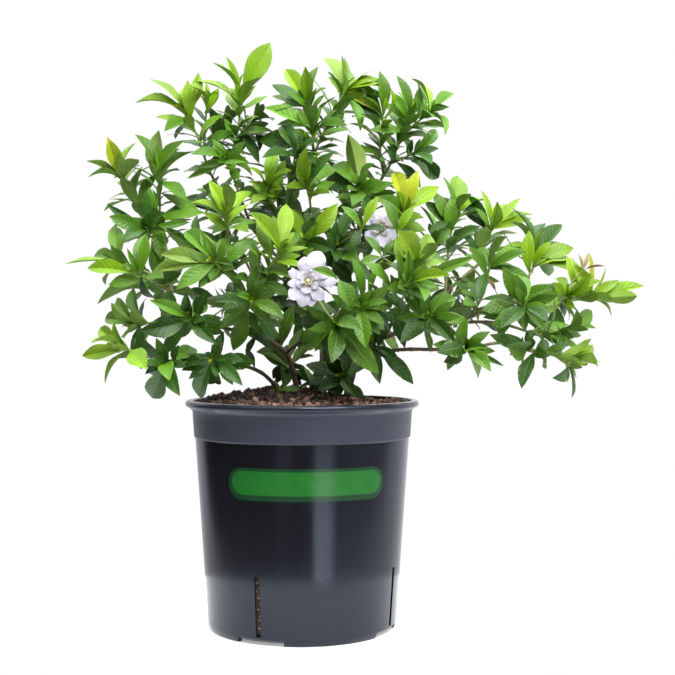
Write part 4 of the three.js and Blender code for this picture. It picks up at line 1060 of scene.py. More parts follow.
# Leaves and dry bits placed one by one: the stem that a sprig leaves, its own way, how thick it is,
# and its leaves as [across, down, depth, width as a share of length, colour]
SPRIGS = [
  ['beside_bloom', [[352, 300, -128], [345, 288, -133], [339, 280, -137]], 1.0,
   [[311.5, 269.5, -141, 0.42, G], [350, 307, -150, 0.66, G]]],
  ['right_tip', [[521, 258, 24], [512, 246, 22], [502, 231, 20]], 0.7, []],
  ['far_right_b', [[571, 284, -44], [583, 270, -42]], 0.9,
   [[578, 254, -42, 0.22, S], [589, 252, -42, 0.3, S], [605, 266, -44, 0.16, B]]],
  ['heart', [[348, 238, -50], [362, 229, -64]], 0.9,
   [[387, 230, -72, 0.4, D], [378, 197, -58, 0.34, L], [341, 206, -66, 0.34, G],
    [350, 252, -72, 0.4, D]]],
  ['shoulder', [[401, 222, -24], [397, 234, -56]], 0.9,
   [[384, 198, -58, 0.36, G], [414, 206, -62, 0.34, L], [422, 242, -70, 0.4, L],
    [398, 264, -70, 0.34, L]]],
  ['front_right', [[392, 264, -104], [382, 257, -92]], 0.9,
   [[366, 236, -88, 0.38, G], [360, 262, -92, 0.4, G], [394, 240, -90, 0.36, G]]],
  ['right_fork', [[501, 300, -70], [496, 292, -72]], 0.6, [[487, 278, -72, 0.3, B]]],
  ['crown_top_b', [[309, 116, 36]], 0.6, [[318, 106, 30, 0.34, S], [301, 110, 28, 0.36, S]]],
]


# Painted light and shade on parts of the crown: a negative change darkens the leaves there as painted shade,
# mostly inside and low in the crown, and a positive one lightens them, mostly at the top and outside, partly
# as younger leaves and partly as painted light: [across, down, half width, half height, change]
PAINTED_LIGHT_AND_SHADE = np.array([[285, 303, 55, 34, -0.4], [325, 368, 45, 34, -0.4], [215, 265, 45, 25, -0.15],
                   [450, 270, 32, 20, -0.25], [225, 112, 55, 32, 0.5], [405, 115, 55, 45, 0.4],
                   [120, 185, 50, 60, 0.3], [440, 345, 60, 20, -0.25], [445, 150, 20, 22, 0.45],
                   [460, 220, 30, 16, 0.3], [255, 272, 35, 15, -0.35], [190, 260, 22, 14, -0.35],
                   [376, 235, 26, 30, -0.35], [455, 365, 25, 12, -0.4], [525, 300, 38, 14, -0.3],
                   [135, 348, 14, 12, -0.4]])


# The CAD leaves' thickness in mm, and where a leaf's last row lies on its length
CAD_THICK = 0.75
CAD_ROW = 0.66


@dataclass
class Line:
    """A stem's centre line."""

    name: str
    parent: str
    node: str
    sheen: Tone | None
    path: Array
    root: float
    tip: float
    tips: list = field(default_factory=list)

    @property
    def run(self) -> Array:
        """The length from the root to each point."""
        return run_of(self.path)

    @property
    def radius(self) -> Array:
        """The radius at each point."""
        return self.root + (self.tip - self.root) * self.run / self.run[-1]

    def at(self, back: Array) -> tuple[Array, Array]:
        """The places at distances back from the tip, and the ways that the stem runs there.

        Args:
            back: how far back from the tip each place is.

        Returns:
            The places and the ways.
        """
        run = self.run
        where = run[-1] - np.asarray(back, float)
        return along(run, self.path, where), unit(along(run, np.gradient(self.path, axis=0), where))


def merged(node: str) -> tuple[Array, Array]:
    """A CAD node's points in mm, alike ones merged, and its triangles.

    Args:
        node: the CAD node's name.

    Returns:
        The points and the triangles.
    """
    mesh = frame["nodes"][node].data
    co = np.zeros(len(mesh.vertices) * 3, np.float32)
    mesh.vertices.foreach_get("co", co)
    corner = np.zeros(len(mesh.loops), np.int32)
    mesh.loops.foreach_get("vertex_index", corner)
    points, index = np.unique(np.round(co.reshape(-1, 3) / MM, 3), axis=0, return_inverse=True)
    return points, index.reshape(-1)[corner].reshape(-1, 3)


@dataclass
class Blades:
    """Many leaves, or petals: each is an arched blade from a foot to a tip."""

    foot: Array
    tip: Array
    up: Array
    half: Array
    arch: Array

    @property
    def length(self) -> Array:
        """Each blade's length."""
        return np.linalg.norm(self.tip - self.foot, axis=1)

    @property
    def axes(self) -> tuple[Array, ...]:
        """Each blade's way along, way across and way up, square to each other.

        Returns:
            The way along, the way across and the way up.
        """
        t = unit(self.tip - self.foot)
        n = square(self.up, t)
        return t, np.cross(n, t), n

    def __len__(self) -> int:
        """How many blades there are."""
        return len(self.half)

    def part(self, keep: Array) -> Blades:
        """Some of the blades."""
        return Blades(self.foot[keep], self.tip[keep], self.up[keep], self.half[keep], self.arch[keep])

    def __add__(self, other: Blades) -> Blades:
        """These blades and others.

        Args:
            other: the others.

        Returns:
            All of them, these first.
        """
        pairs = ((self.foot, other.foot), (self.tip, other.tip), (self.up, other.up),
                 (self.half, other.half), (self.arch, other.arch))
        return Blades(*(np.concatenate(pair) for pair in pairs))


def cad_outline(u: Array) -> Array:
    """The half width of a CAD leaf at u of its length, 1 at the widest."""
    return np.sin(np.pi * u ** 1.1) ** 0.85


def leaf_ends(node: str) -> tuple[Array, ...]:
    """Finds the last rows of the leaves in a CAD node.

    A leaf's tip is a point of four triangles, whose four neighbours are the corners of the
    blade's last row: a rectangle as high as the blade is thick, with both ends equally far
    from the tip.

    Args:
        node: The CAD node's name.

    Returns:
        The middles of the row's two ends, the tips, and a corner at the first end.
    """
    points, faces = merged(node)
    flat = faces.ravel()
    owner = np.repeat(np.arange(len(faces)), 3)
    held = np.bincount(flat, minlength=len(points))[flat] == 4
    order = np.argsort(flat[held], kind="stable")
    tip = flat[held][order].reshape(-1, 4)[:, 0]
    near = faces[owner[held][order]].reshape(-1, 12)
    near = np.sort(np.where(near == tip[:, None], -1, near), axis=1)[:, 4:]
    paired = np.all(near[:, ::2] == near[:, 1::2], axis=1)
    tip, ring = points[tip[paired]], points[near[paired][:, ::2]]
    away = np.linalg.norm(ring - ring[:, :1], axis=2)
    away[:, 0] = np.inf
    mate = np.argmin(away, axis=1)
    rest = np.array([[2, 3], [1, 3], [1, 2]])[mate - 1]
    rows = np.arange(len(tip))
    corners = [ring[:, 0], ring[rows, mate], ring[rows, rest[:, 0]], ring[rows, rest[:, 1]]]
    one, two = (corners[0] + corners[1]) / 2, (corners[2] + corners[3]) / 2
    skew = np.abs(np.linalg.norm(tip - one, axis=1) - np.linalg.norm(tip - two, axis=1))
    good = (skew < 0.3) & (np.linalg.norm(two - one, axis=1) > 1.5)
    for a, b in (corners[:2], corners[2:]):
        good &= np.abs(np.linalg.norm(a - b, axis=1) - CAD_THICK) < 0.1
    return one[good], two[good], tip[good], corners[0][good]


def blades_of(node: str) -> Blades:
    """The leaves in a CAD node, worked out from their last rows and tips.

    The last row lies at CAD_ROW of the length, on an arch of height 4u(1 - u). The row's own
    tilt against the chord to the tip gives the arch, and so the foot.

    Args:
        node: the CAD node's name.

    Returns:
        The leaves.
    """
    one, two, tip, corner = leaf_ends(node)
    side, chord = two - one, tip - (one + two) / 2
    ahead = unit(chord)
    normal = unit(corner - one)
    normal = normal * np.sign(-np.sum(normal * ahead, axis=1))[:, None]
    tilt = -np.sum(normal * ahead, axis=1)
    left = 1 - CAD_ROW
    rise, slope = 4 * CAD_ROW * left, -4 * (1 - 2 * CAD_ROW)
    arch = np.full(len(tilt), 0.1)
    for _ in range(9):
        k = np.sqrt(left ** 2 + (rise * arch) ** 2)
        m = np.sqrt(1 + (slope * arch) ** 2)
        last, arch = arch, tilt * k * m / (rise - left * slope)
    t = unit(k[:, None] * ahead + (rise * last * m)[:, None] * normal)
    face = np.cross(unit(side), ahead)
    n = square(np.where(np.sum(face * normal, axis=1)[:, None] > 0, face, -face), t)
    half = np.linalg.norm(side, axis=1) / 2 / cad_outline(CAD_ROW)
    return Blades(tip - t * (np.linalg.norm(chord, axis=1) / k)[:, None], tip, n, half, last)


# ---------------------------------------------------------------- the crown's lines
class Crown:
    """The centre lines of every branch and leafy stem, and the leaves that the frame holds."""

    bends = (0, 9, -9, 18, -18, 27, -27, 36, -36)
    stem_radii = (1.75, 1.1)
    step = 4.0
    sunk = 24.0

    def __init__(self) -> None:
        """Lays out the woody branches and the leafy stems."""
        self.leaves = {node: blades_of(node) for node in frame["nodes"] if node.startswith("leafy_stem")}
        self.lines: dict[str, Line] = {}
        for name, stem, root, tip, points in BRANCHES:
            self.lines[name] = self._branch(name, "woody_stem_" + stem, root, tip, sight(points))
        nodes: dict[str, str] = {}
        for name, parent, sheen, path, tips in LEAFY_STEMS:
            nodes[name] = nodes.get(parent, "leafy_stem_" + name)
            line = Line(name, parent, nodes[name], sheen, sight(path), *self.stem_radii, tips)
            self.lines[name] = self._stem(line)

    def _branch(self, name: str, node: str, root: float, tip: float, knots: Array) -> Line:
        """A woody branch, which starts inside the one that it leaves.

        Args:
            name: the branch's name.
            node: its CAD node.
            root: the radius at its root.
            tip: the radius at its tip.
            knots: points of its centre line.

        Returns:
            The branch.
        """
        own = [line for line in self.lines.values() if line.node == node]
        if own:
            found = [nearest_on(line.path, knots[:1]) for line in own]
            knots[0] = min(found, key=lambda f: f[1][0])[0][0]
            return Line(name, "", node, None, smooth_path(knots, self.step), root, tip)
        foot, rise = knots[0], unit(knots[1] - knots[0])
        down = foot - rise * self.sunk / rise[2]
        path = np.vstack([np.linspace(down, knots[1], 9)[:-1], smooth_path(knots[1:], self.step)])
        return Line(name, "", node, None, path, root, tip)

    def _stem(self, line: Line) -> Line:
        """A leafy stem, bent in depth as the frame has it: where the leaves' feet lie on it.

        Args:
            line: the stem as it is listed.

        Returns:
            The stem as it is bent.
        """
        parent = self.lines[line.parent]
        knots = line.path
        foot, _, run = nearest_on(parent.path, knots[:1])
        knots[0] = foot[0]
        if parent.run[-1] - run[0] < 2:
            knots = np.vstack([knots[:1], knots[:1] + 8 * unit(parent.path[-1] - parent.path[-2]), knots[1:]])
        listed = np.array([tip[:2] for tip in line.tips], float)
        leaves = self.leaves[line.node]
        gap = np.linalg.norm(seen(leaves.tip)[:, None] - listed, axis=2).min(axis=1)
        feet = leaves.foot[gap < 2]
        best = None
        for bend in self.bends:
            tried = knots.copy()
            tried[1:-1, 1] += bend
            path = smooth_path(tried, self.step)
            miss = nearest_on(path, feet)[1].mean() + 0.002 * abs(bend) if len(feet) else abs(bend)
            if best is None or miss < best[0]:
                best = (miss, path)
        return replace(line, path=best[1])


# ---------------------------------------------------------------- leaves
@dataclass(frozen=True)
class BladeForm:
    """How a fine leaf or petal is shaped from its blade."""

    rows: tuple[float, ...] = (0.06, 0.17, 0.29, 0.42, 0.54, 0.66, 0.78, 0.88, 0.955)
    columns: tuple[float, ...] = (-1, -0.5, 0, 0.5, 1)
    power: float = 1.25
    fullness: float = 0.98
    widen: float = 0.95
    thick: float = 0.35
    rib: float = 0.7
    fold: tuple[float, float] = (0.12, 0.42)
    curl: tuple[float, float] = (0.05, 0.3)
    wave: float = 0.09
    waves: float = 2.3
    nod: tuple[float, float] = (-0.03, 0.05)

    def outline(self, u: Array) -> Array:
        """The half width at u of the length: the sine of pi times u to a power, to a power."""
        return np.sin(np.pi * u ** self.power) ** self.fullness


def grow_blades(blades: Blades, form: BladeForm, tint: Array, mark: Array, seed: int) -> Surface:
    """Shapes every blade as a thin closed leaf.

    A point at u along and w across lies on the arch 4u(1 - u), w half widths aside. There it is
    raised by fold times |w| and lowered by curl times w squared, both times the half width,
    and the margins wave as a sine along the length. The tip nods by a cube of u.

    Args:
        blades: where the leaves are.
        form: how they are shaped.
        tint: each leaf's colour, (n, 3).
        mark: how much of each is dry.
        seed: the seed of its draws.

    Returns:
        One surface for all of them.
    """
    draw = np.random.default_rng(seed)
    n = len(blades)
    t, s, up = blades.axes
    long = blades.length
    u = np.array(form.rows)[None, :, None]
    w = np.array(form.columns)[None, None, :]
    fold = draw.uniform(*form.fold, n)[:, None, None]
    curl = draw.uniform(*form.curl, n)[:, None, None]
    nod = draw.uniform(*form.nod, n)[:, None, None]
    phase = draw.uniform(0, 2 * np.pi, (n, 1, 2))
    half = blades.half[:, None, None] * form.widen * form.outline(u)
    aside = np.where(w < 0, phase[..., :1], phase[..., 1:])
    wave = form.wave * np.sin(2 * np.pi * form.waves * u + aside) * w ** 2
    lift = half * (fold * np.abs(w) - curl * w ** 2 + wave)
    lift = lift + long[:, None, None] * (blades.arch[:, None, None] * 4 * u * (1 - u) - nod * u ** 3)
    width = half * w * (1 - 0.35 * fold ** 2)
    at = blades.foot[:, None, None] + t[:, None, None] * (long[:, None, None] * u)[..., None]
    top = at + up[:, None, None] * lift[..., None] + s[:, None, None] * width[..., None]
    inner = slice(1, len(form.columns) - 1)
    keel = form.thick + form.rib * (1 - u) * (np.abs(w[..., inner]) < 0.01)
    under = top[:, :, inner] - up[:, None, None] * keel[..., None]
    ring = np.concatenate([top, under[:, :, ::-1]], axis=2)
    rows, sides = len(form.rows), ring.shape[2]
    tip = blades.tip - up * (nod[:, 0, 0] * long)[:, None]
    points = np.concatenate([ring.reshape(n, -1, 3), blades.foot[:, None], tip[:, None]], axis=1)
    each = points.shape[1]
    one = ring_faces(rows, sides)
    one = np.vstack([one[:-2 * sides, ::-1], one[-2 * sides:, [0, 2, 1, 3]]])
    faces = np.where(one < 0, -1, one + each * np.arange(n)[:, None, None]).reshape(-1, 4)
    ring_w = np.concatenate([form.columns, np.array(form.columns)[inner][::-1]])
    beneath = np.tile(np.arange(sides) >= len(form.columns) - 1, rows + 1)
    corner = np.where(one < 0, one[:, :1], one)
    x = np.where(corner < rows * sides, ring_w[corner % sides], 0)
    x = (x + 1) / 2 - 1.001 * beneath[:, None]
    y = np.concatenate([np.repeat(form.rows, sides), [0, 1]])[corner]
    uv = np.tile(np.stack([x, y], axis=-1), (n, 1, 1))
    return Surface(points.reshape(-1, 3), faces, uv, np.repeat(tint, each, axis=0), np.repeat(mark, each))


# ---------------------------------------------------------------- blooms
Span = tuple[float, float]
Spot = tuple[float, float, float]
LAID = BladeForm(
    rows=(0.08, 0.2, 0.34, 0.48, 0.62, 0.75, 0.86, 0.94, 0.985), columns=(-1, -0.7, -0.35, 0, 0.35, 0.7, 1),
    power=1.6, fullness=0.72, widen=1.0, rib=0.0, fold=(-0.1, 0.3), curl=(0.0, 0.3), wave=0.3, waves=2.2,
    nod=(-0.08, 0.12))
CUPPED = replace(LAID, fold=(0.2, 0.5), curl=(-0.1, 0.05), nod=(-0.12, 0.02))


@dataclass(frozen=True)
class Whorl:
    """Petals round the eye, in mm: from where on the bloom's axis, and the ranges of their draws."""

    foot: float
    turn: Span
    reach: Span
    rise: Span
    half: Span
    arch: Span


@dataclass(frozen=True)
class Bloom:
    """A double white bloom: an outer layer of petals laid back, an inner one round the eye.

    Its own tips are [across, down] on the sheet, with the petal's half width in mm.
    """

    node: str
    centre: Spot
    face: Spot
    tips: tuple[Spot, ...]
    inner_count: int
    stalk_from: str
    stalk: tuple[Spot, ...]
    seed: int
    guard: float
    seat: float = 5.0
    foot: float = 2.2
    lay_back: float = 0.35
    outer_feet: Span = (-1.6, 0.4)
    outer_rise: float = 3.5
    inner: Whorl = Whorl(2.1, (0.3, 0.6), (11.0, 15.0), (6.0, 9.5), (3.6, 5.2), (0.06, 0.14))
    petaloids: Whorl = Whorl(3.0, (0.0, 0.6), (4.0, 8.0), (9.0, 12.0), (2.2, 3.4), (0.1, 0.2))
    petaloid_count: int = 4
    stamens: int = 6

    def axes(self) -> tuple[Array, Array, Pair]:
        """The base of the petals, the way that the bloom looks, and two ways across it."""
        f = unit(np.array(self.face, float))
        return sight(self.centre) - f * self.seat, f, ways_across(f, [1.0, 0, 0])

    def _layer(self, turn: Array, foot: Array, reach: Array, rise: Array, half: Array, arch: Array) -> Blades:
        """A layer of petals: each leaves the base at an angle and ends at its reach and rise.

        Args:
            turn: each petal's angle round the bloom.
            foot: how far up it starts.
            reach: how far out it ends.
            rise: how far up it ends.
            half: its half width.
            arch: its arch.

        Returns:
            The petals.
        """
        base, f, across = self.axes()
        out = around(across, turn)
        feet = base + f * foot[:, None] + out * self.foot
        tips = base + f * rise[:, None] + out * reach[:, None]
        return Blades(feet, tips, f - out * self.lay_back, half, arch)

    def _outer(self, draw: np.random.Generator) -> Blades:
        """The outer petals, which end at the bloom's tips.

        Args:
            draw: the random draws.

        Returns:
            The petals.
        """
        tips = sight([[a, d, self.centre[2]] for a, d, _ in self.tips]) - sight(self.centre)
        odd = np.arange(len(tips)) % 2
        rise = odd * self.outer_rise + draw.uniform(-0.5, 2.5, len(tips))
        feet = np.where(odd == 1, self.outer_feet[1], self.outer_feet[0])
        half = np.array([tip[2] for tip in self.tips])
        turn, reach = np.arctan2(tips[:, 2], tips[:, 0]), np.linalg.norm(tips, axis=1)
        return self._layer(turn, feet, reach, rise, half, draw.uniform(0.06, 0.16, len(tips)))

    def _whorl(self, whorl: Whorl, n: int, draw: np.random.Generator) -> Blades:
        """Petals at even turns, but for a draw.

        Args:
            whorl: the reach, rise and width of the petals.
            n: how many there are.
            draw: the random draws.

        Returns:
            The petals.
        """
        turn = (np.arange(n) + draw.uniform(*whorl.turn, n)) * 2 * np.pi / n
        spans = (whorl.reach, whorl.rise, whorl.half, whorl.arch)
        return self._layer(turn, np.full(n, whorl.foot), *(draw.uniform(*span, n) for span in spans))

    def stalk_surface(self, line: Line) -> Surface:
        """The stalk, from its leafy stem to the green cup behind the petals.

        Args:
            line: the leafy stem.

        Returns:
            The stalk.
        """
        base, f, _ = self.axes()
        knots = sight(self.stalk)
        knots[0] = nearest_on(line.path, knots[:1])[0][0]
        path = np.vstack([smooth_path(np.vstack([knots, base - f * 12]), 4.0), base - f * 6, base + f])
        radius = np.full(len(path), 1.5)
        radius[-2:] = (2.0, 3.6)
        return tube(path, radius, 8, linear("8fae4c"), None, 1)

    def _eye(self, draw: np.random.Generator) -> list[Surface]:
        """The club-shaped style, and the stamens that lean away round it.

        Args:
            draw: the random draws.

        Returns:
            The style and the stamens.
        """
        base, f, across = self.axes()
        up = np.array([2.0, 4.2, 6.5, 8.6, 9.6])[:, None]
        parts = [tube(base + f * up, np.array([1.2, 1.2, 1.5, 2.1, 0.9]), 8, linear("e9e2a4"))]
        rise, away = np.array([[3.0, 0.8], [5.0, 2.0], [7.0, 3.4], [9.0, 5.4]]).T[..., None]
        for k in range(self.stamens):
            out = around(across, 2 * np.pi * k / self.stamens + draw.uniform(-0.2, 0.2))
            path = base + f * rise + out * away
            parts.append(tube(path, np.array([0.5, 0.6, 0.9, 0.4]), 6, linear("d9c45e")))
        return parts

    def make(self, paints: Paints) -> None:
        """Makes the petals and the eye.

        Args:
            paints: the finishes.
        """
        draw = np.random.default_rng(self.seed)
        outer = self._outer(draw)
        inner = self._whorl(self.inner, self.inner_count, draw)
        small = self._whorl(self.petaloids, self.petaloid_count, draw)
        shade = draw.uniform(0.88, 1.0, (len(outer), 1)) * np.array([1.0, 0.99, 1.02])
        parts = []
        layers = ((outer, LAID, shade), (inner, LAID, 1.0), (small, CUPPED, 1.0))
        for k, (blades, form, tint) in enumerate(layers):
            n = len(blades)
            parts.append(grow_blades(blades, form, np.ones((n, 3)) * tint, np.zeros(n), self.seed + k))
        make_piece(self.node + "_petals", parts, [paints.petal], [self.node])
        eye = self.node + "_eye"
        make_piece(eye + "_dressed", self._eye(draw), [paints.stamen], [eye])


BLOOMS = (
    Bloom("bloom_front", (308, 281, -122), (-0.02, -1, 0.12),
          ((320, 250, 10.5), (304, 256, 8.0), (288, 270, 5.0), (287, 284, 4.2), (289, 299, 7.5),
           (301, 307, 7.0), (312, 307, 6.5), (323, 301, 7.0), (337, 281, 6.5), (332, 268, 6.0)),
          6, "under_bloom", ((334, 322, -98), (322, 306, -92), (311, 288, -92)), seed=51, guard=24.0),
    Bloom("bloom_back", (381, 227, -40), (0.1, -1, 0.3),
          ((384, 204, 9.0), (398, 215, 8.0), (399, 236, 8.0), (384, 249, 8.5), (366, 240, 7.5),
           (363, 216, 7.5)),
          4, "shoulder", ((392, 225, 46), (388, 230, 24), (383, 228, -4)), seed=61, guard=12.0),
)


# ---------------------------------------------------------------- the leafy stems
# Leaves whose tips are dry: [across, down, the share that is dry]
DRY_TIPS = ((337, 90, 0.3), (374, 69, 0.16), (176, 266, 0.16), (107, 137, 0.1))
# Places on a leaf that are kept clear of other leaves: (share of the length, of the half width)
SPREAD = ((0.35, 0), (0.6, 0), (0.85, 0), (0.45, 0.7), (0.45, -0.7), (0.7, 0.6), (0.7, -0.6))
# How far round a stem a leaf is tried where its own place is full, in radians
SHIFTS = (0.0, 0.45, -0.45, 0.9, -0.9, 1.35)
STEM_HINT = (0.3, -0.9, 0.2)


def within(places: Array, spot: Array, radius: float) -> Array:
    """Which places of the sheet lie less than a radius from a spot."""
    return np.linalg.norm(places - spot, axis=1) < radius


@dataclass(frozen=True)
class Growth:
    """How leaves stand on a stem: where, how far apart and leaning, and how large. Lengths in mm."""

    first: float
    last: float
    step: float
    lean: Span
    lean_rate: float
    lengths: Span
    widths: Span
    sag: float
    droop: float
    room: float


@dataclass
class Foliage:
    """Every leafy stem with its leaves: those of the frame, and finer ones between them."""

    crown: Crown
    paints: Paints
    form: BladeForm = BladeForm()
    young: BladeForm = BladeForm(fold=(0.35, 0.7), curl=(0.0, 0.1), thick=0.3, rib=0.4, wave=0.05)
    fresh: Growth = Growth(0.5, 12.0, 3.5, (12.0, 34.0), 0.6, (26.0, 46.0), (0.28, 0.36), -0.12, 0.2, 3.4)
    grown: Growth = Growth(9.0, 200.0, 7.5, (34.0, 56.0), 0.5, (28.0, 48.0), (0.3, 0.42), 0.05, 0.6, 4.6)
    ring_step: float = 13.0
    young_run: float = 42.0
    fresh_run: float = 9.0
    light: Span = (0.72, 1.18)
    hue: Span = (-0.09, 0.09)
    heights: Span = (50.0, 400.0)
    box_margin: float = 4.0
    bloom_back: float = 12.0
    patience: int = 120
    half_reach: Span = (11.0, 23.0)
    dark_depth: Span = (0.0, 26.0)
    light_depth: Span = (-16.0, 8.0)
    thicket_room: float = 3.2
    neighbours: float = 70.0
    stem_reach: float = 80.0

    def __post_init__(self) -> None:
        """Shares the leaves out to the stems."""
        self.twigs: dict[str, list[Surface]] = {}
        self.added: dict[str, Blades] = {}
        self.chosen: list[tuple[Array, Tone]] = []
        self.samples = np.vstack([self._spread(leaves) for leaves in self.crown.leaves.values()])

    def _spread(self, leaves: Blades) -> Array:
        """The SPREAD places of each leaf.

        Args:
            leaves: the leaves.

        Returns:
            The places, in mm.
        """
        t, s, n = leaves.axes
        out = []
        for u, w in SPREAD:
            rise = leaves.arch * leaves.length * 4 * u * (1 - u)
            side = leaves.half * self.form.outline(np.array(u)) * w
            out.append(leaves.foot + t * (leaves.length * u)[:, None] + n * rise[:, None] + s * side[:, None])
        return np.stack(out, axis=1).reshape(-1, 3)

    def _back(self, line: Line, leaves: Blades) -> Array:
        """How far from the stem's tip each leaf leaves it."""
        return line.run[-1] - nearest_on(line.path, leaves.foot)[2]

    def _kinds(self, line: Line, leaves: Blades, draw: np.random.Generator) -> Pair:
        """The tints and dry marks of a stem's leaves, from its list, its sheen, their age, and painted light
        and shade by their place in the crown.

        Args:
            line: the stem.
            leaves: its leaves.
            draw: the random draws.

        Returns:
            The tints and the dry marks.
        """
        young = np.clip(1 - self._back(line, leaves) / self.young_run, 0, 1)[:, None]
        dark = Tone.DARK.light
        old = dark if line.sheen is Tone.DARK else Tone.GREEN.light * 0.75 + dark * 0.25
        tint = old + (line.sheen.light - old) * young ** 0.7
        places = seen(leaves.tip)
        listed = [(tip[:2], tip[2], 2.0) for tip in line.tips]
        for spot, tone, radius in listed + [(*leaf, 0.5) for leaf in self.chosen]:
            tint = np.where(within(places, spot, radius)[:, None], tone.light, tint)
        # Painted light and shade: each leaf is darkened or lightened by the parts of the crown that it lies
        # in, not by the lamps
        across, down, wide, high, change = PAINTED_LIGHT_AND_SHADE.T
        off = ((places[:, :1] - across) / wide) ** 2 + ((places[:, 1:] - down) / high) ** 2
        painted_shading = 1 + (change * np.exp(-off)).sum(axis=1, keepdims=True)
        shade = painted_shading * draw.uniform(*self.light, (len(leaves), 1))
        hue = draw.uniform(*self.hue, (len(leaves), 1)) * np.array([1, 0.25, -0.3])
        mark = np.zeros(len(leaves))
        for *spot, amount in DRY_TIPS:
            mark[within(places, spot, 5.0)] = amount
        return np.clip(tint * shade * (1 + hue), 0.004, 0.9), mark

    def _open(self, leaves: Blades) -> Array:
        """Whether leaves end inside the crown's reach, and leave clearings and blooms in sight.

        Args:
            leaves: the leaves.

        Returns:
            True for each leaf that may stay.
        """
        places = seen(leaves.tip)
        across, down = places.T
        fine = (down > self.heights[0]) & (down < self.heights[1])
        for side, edge in ((1, REACH[:, 1]), (-1, REACH[:, 2])):
            fine &= side * (across - np.interp(down, REACH[:, 0], edge)) > 0
        low, high = np.array(CAD_BOX) / MM
        fine &= np.all((leaves.tip > low - self.box_margin) & (leaves.tip < high + self.box_margin), axis=1)
        for u in (0.3, 0.55, 0.8, 1.0):
            spot = leaves.foot + leaves.axes[0] * (leaves.length * u)[:, None]
            place = seen(spot)
            for *middle, radius in CLEARINGS:
                fine &= ~within(place, middle, radius)
            for bloom in BLOOMS:
                before = spot[:, 1] < bloom.centre[2] + self.bloom_back
                fine &= ~(within(place, bloom.centre[:2], bloom.guard) & before)
        return fine

    def _keep(self, name: str, one: Blades, tone: Tone | None = None) -> None:
        """Adds a leaf to a stem, in its own colour or a given one.

        Args:
            name: the stem's name.
            one: the leaf.
            tone: the colour, if one is given.
        """
        self.samples = np.vstack([self.samples, self._spread(one)])
        held = self.added.get(name)
        self.added[name] = one if held is None else held + one
        if tone:
            self.chosen.append((seen(one.tip)[0], tone))

    def _thicken(self, hosts: Array, names: list[str], thicket: list, draw: np.random.Generator) -> int:
        """Adds leaves whose middles lie in a round of the sheet, each on a stem near it.

        Args:
            hosts: points on the stems.
            names: the stem of each point.
            thicket: the round, how many leaves it wants and their colour.
            draw: the draws to use.

        Returns:
            How many leaves found room.
        """
        across, down, radius, count, tone = thicket
        places = seen(hosts)
        depth = self.dark_depth if tone is Tone.DARK else self.light_depth
        added = 0
        for _ in range(self.patience * count):
            if added == count:
                break
            turn, away = draw.uniform(0, 2 * np.pi), radius * draw.uniform(0, 1) ** 0.5
            spot = np.array([across + away * np.cos(turn), down + away * np.sin(turn)])
            gap = np.linalg.norm(places - spot, axis=1)
            near = np.flatnonzero((gap > self.half_reach[0]) & (gap < self.half_reach[1]))
            if not len(near):
                continue
            k = draw.choice(near)
            tip = sight([*(2 * spot - places[k]), hosts[k, 1] + draw.uniform(*depth)])
            half = np.linalg.norm(tip - hosts[k]) * draw.uniform(*self.grown.widths) / 2
            up = np.array([draw.uniform(-0.4, 0.4), draw.uniform(-1, -0.3), draw.uniform(0.3, 1)])
            arch = draw.uniform(0.05, 0.15)
            one = Blades(hosts[k][None], tip[None], up[None], np.array([half]), np.array([arch]))
            if not self._open(one)[0]:
                continue
            close = self.samples[np.linalg.norm(self.samples - tip, axis=1) < self.neighbours]
            gaps = np.linalg.norm(close[:, None] - self._spread(one)[None, 1:], axis=2)
            if gaps.min() >= self.thicket_room:
                self._keep(names[k], one, tone)
                added += 1
        return added

    def _sprig(self, name: str, path: list, radius: float, tips: list) -> Surface:
        """A small sprig from a stem, with its leaves.

        Args:
            name: the stem's name.
            path: points of the sprig's centre line.
            radius: how thick it is.
            tips: its leaves.

        Returns:
            The twig.
        """
        knots = sight(path)
        root = nearest_on(self.crown.lines[name].path, knots[:1])[0]
        line = smooth_path(np.vstack([root, knots]), 3.0)
        for *place, share, tone in tips:
            tip = sight(place)[None]
            half = np.linalg.norm(tip - line[-1], axis=1) * share / 2
            one = Blades(line[-1:], tip, np.array([[0.1, -0.8, 0.5]]), half, np.array([0.12]))
            self._keep(name, one, tone)
        return tube(line, np.linspace(radius * 1.2, radius * 0.8, len(line)), 7, linear("6f7a42"), None, 1)

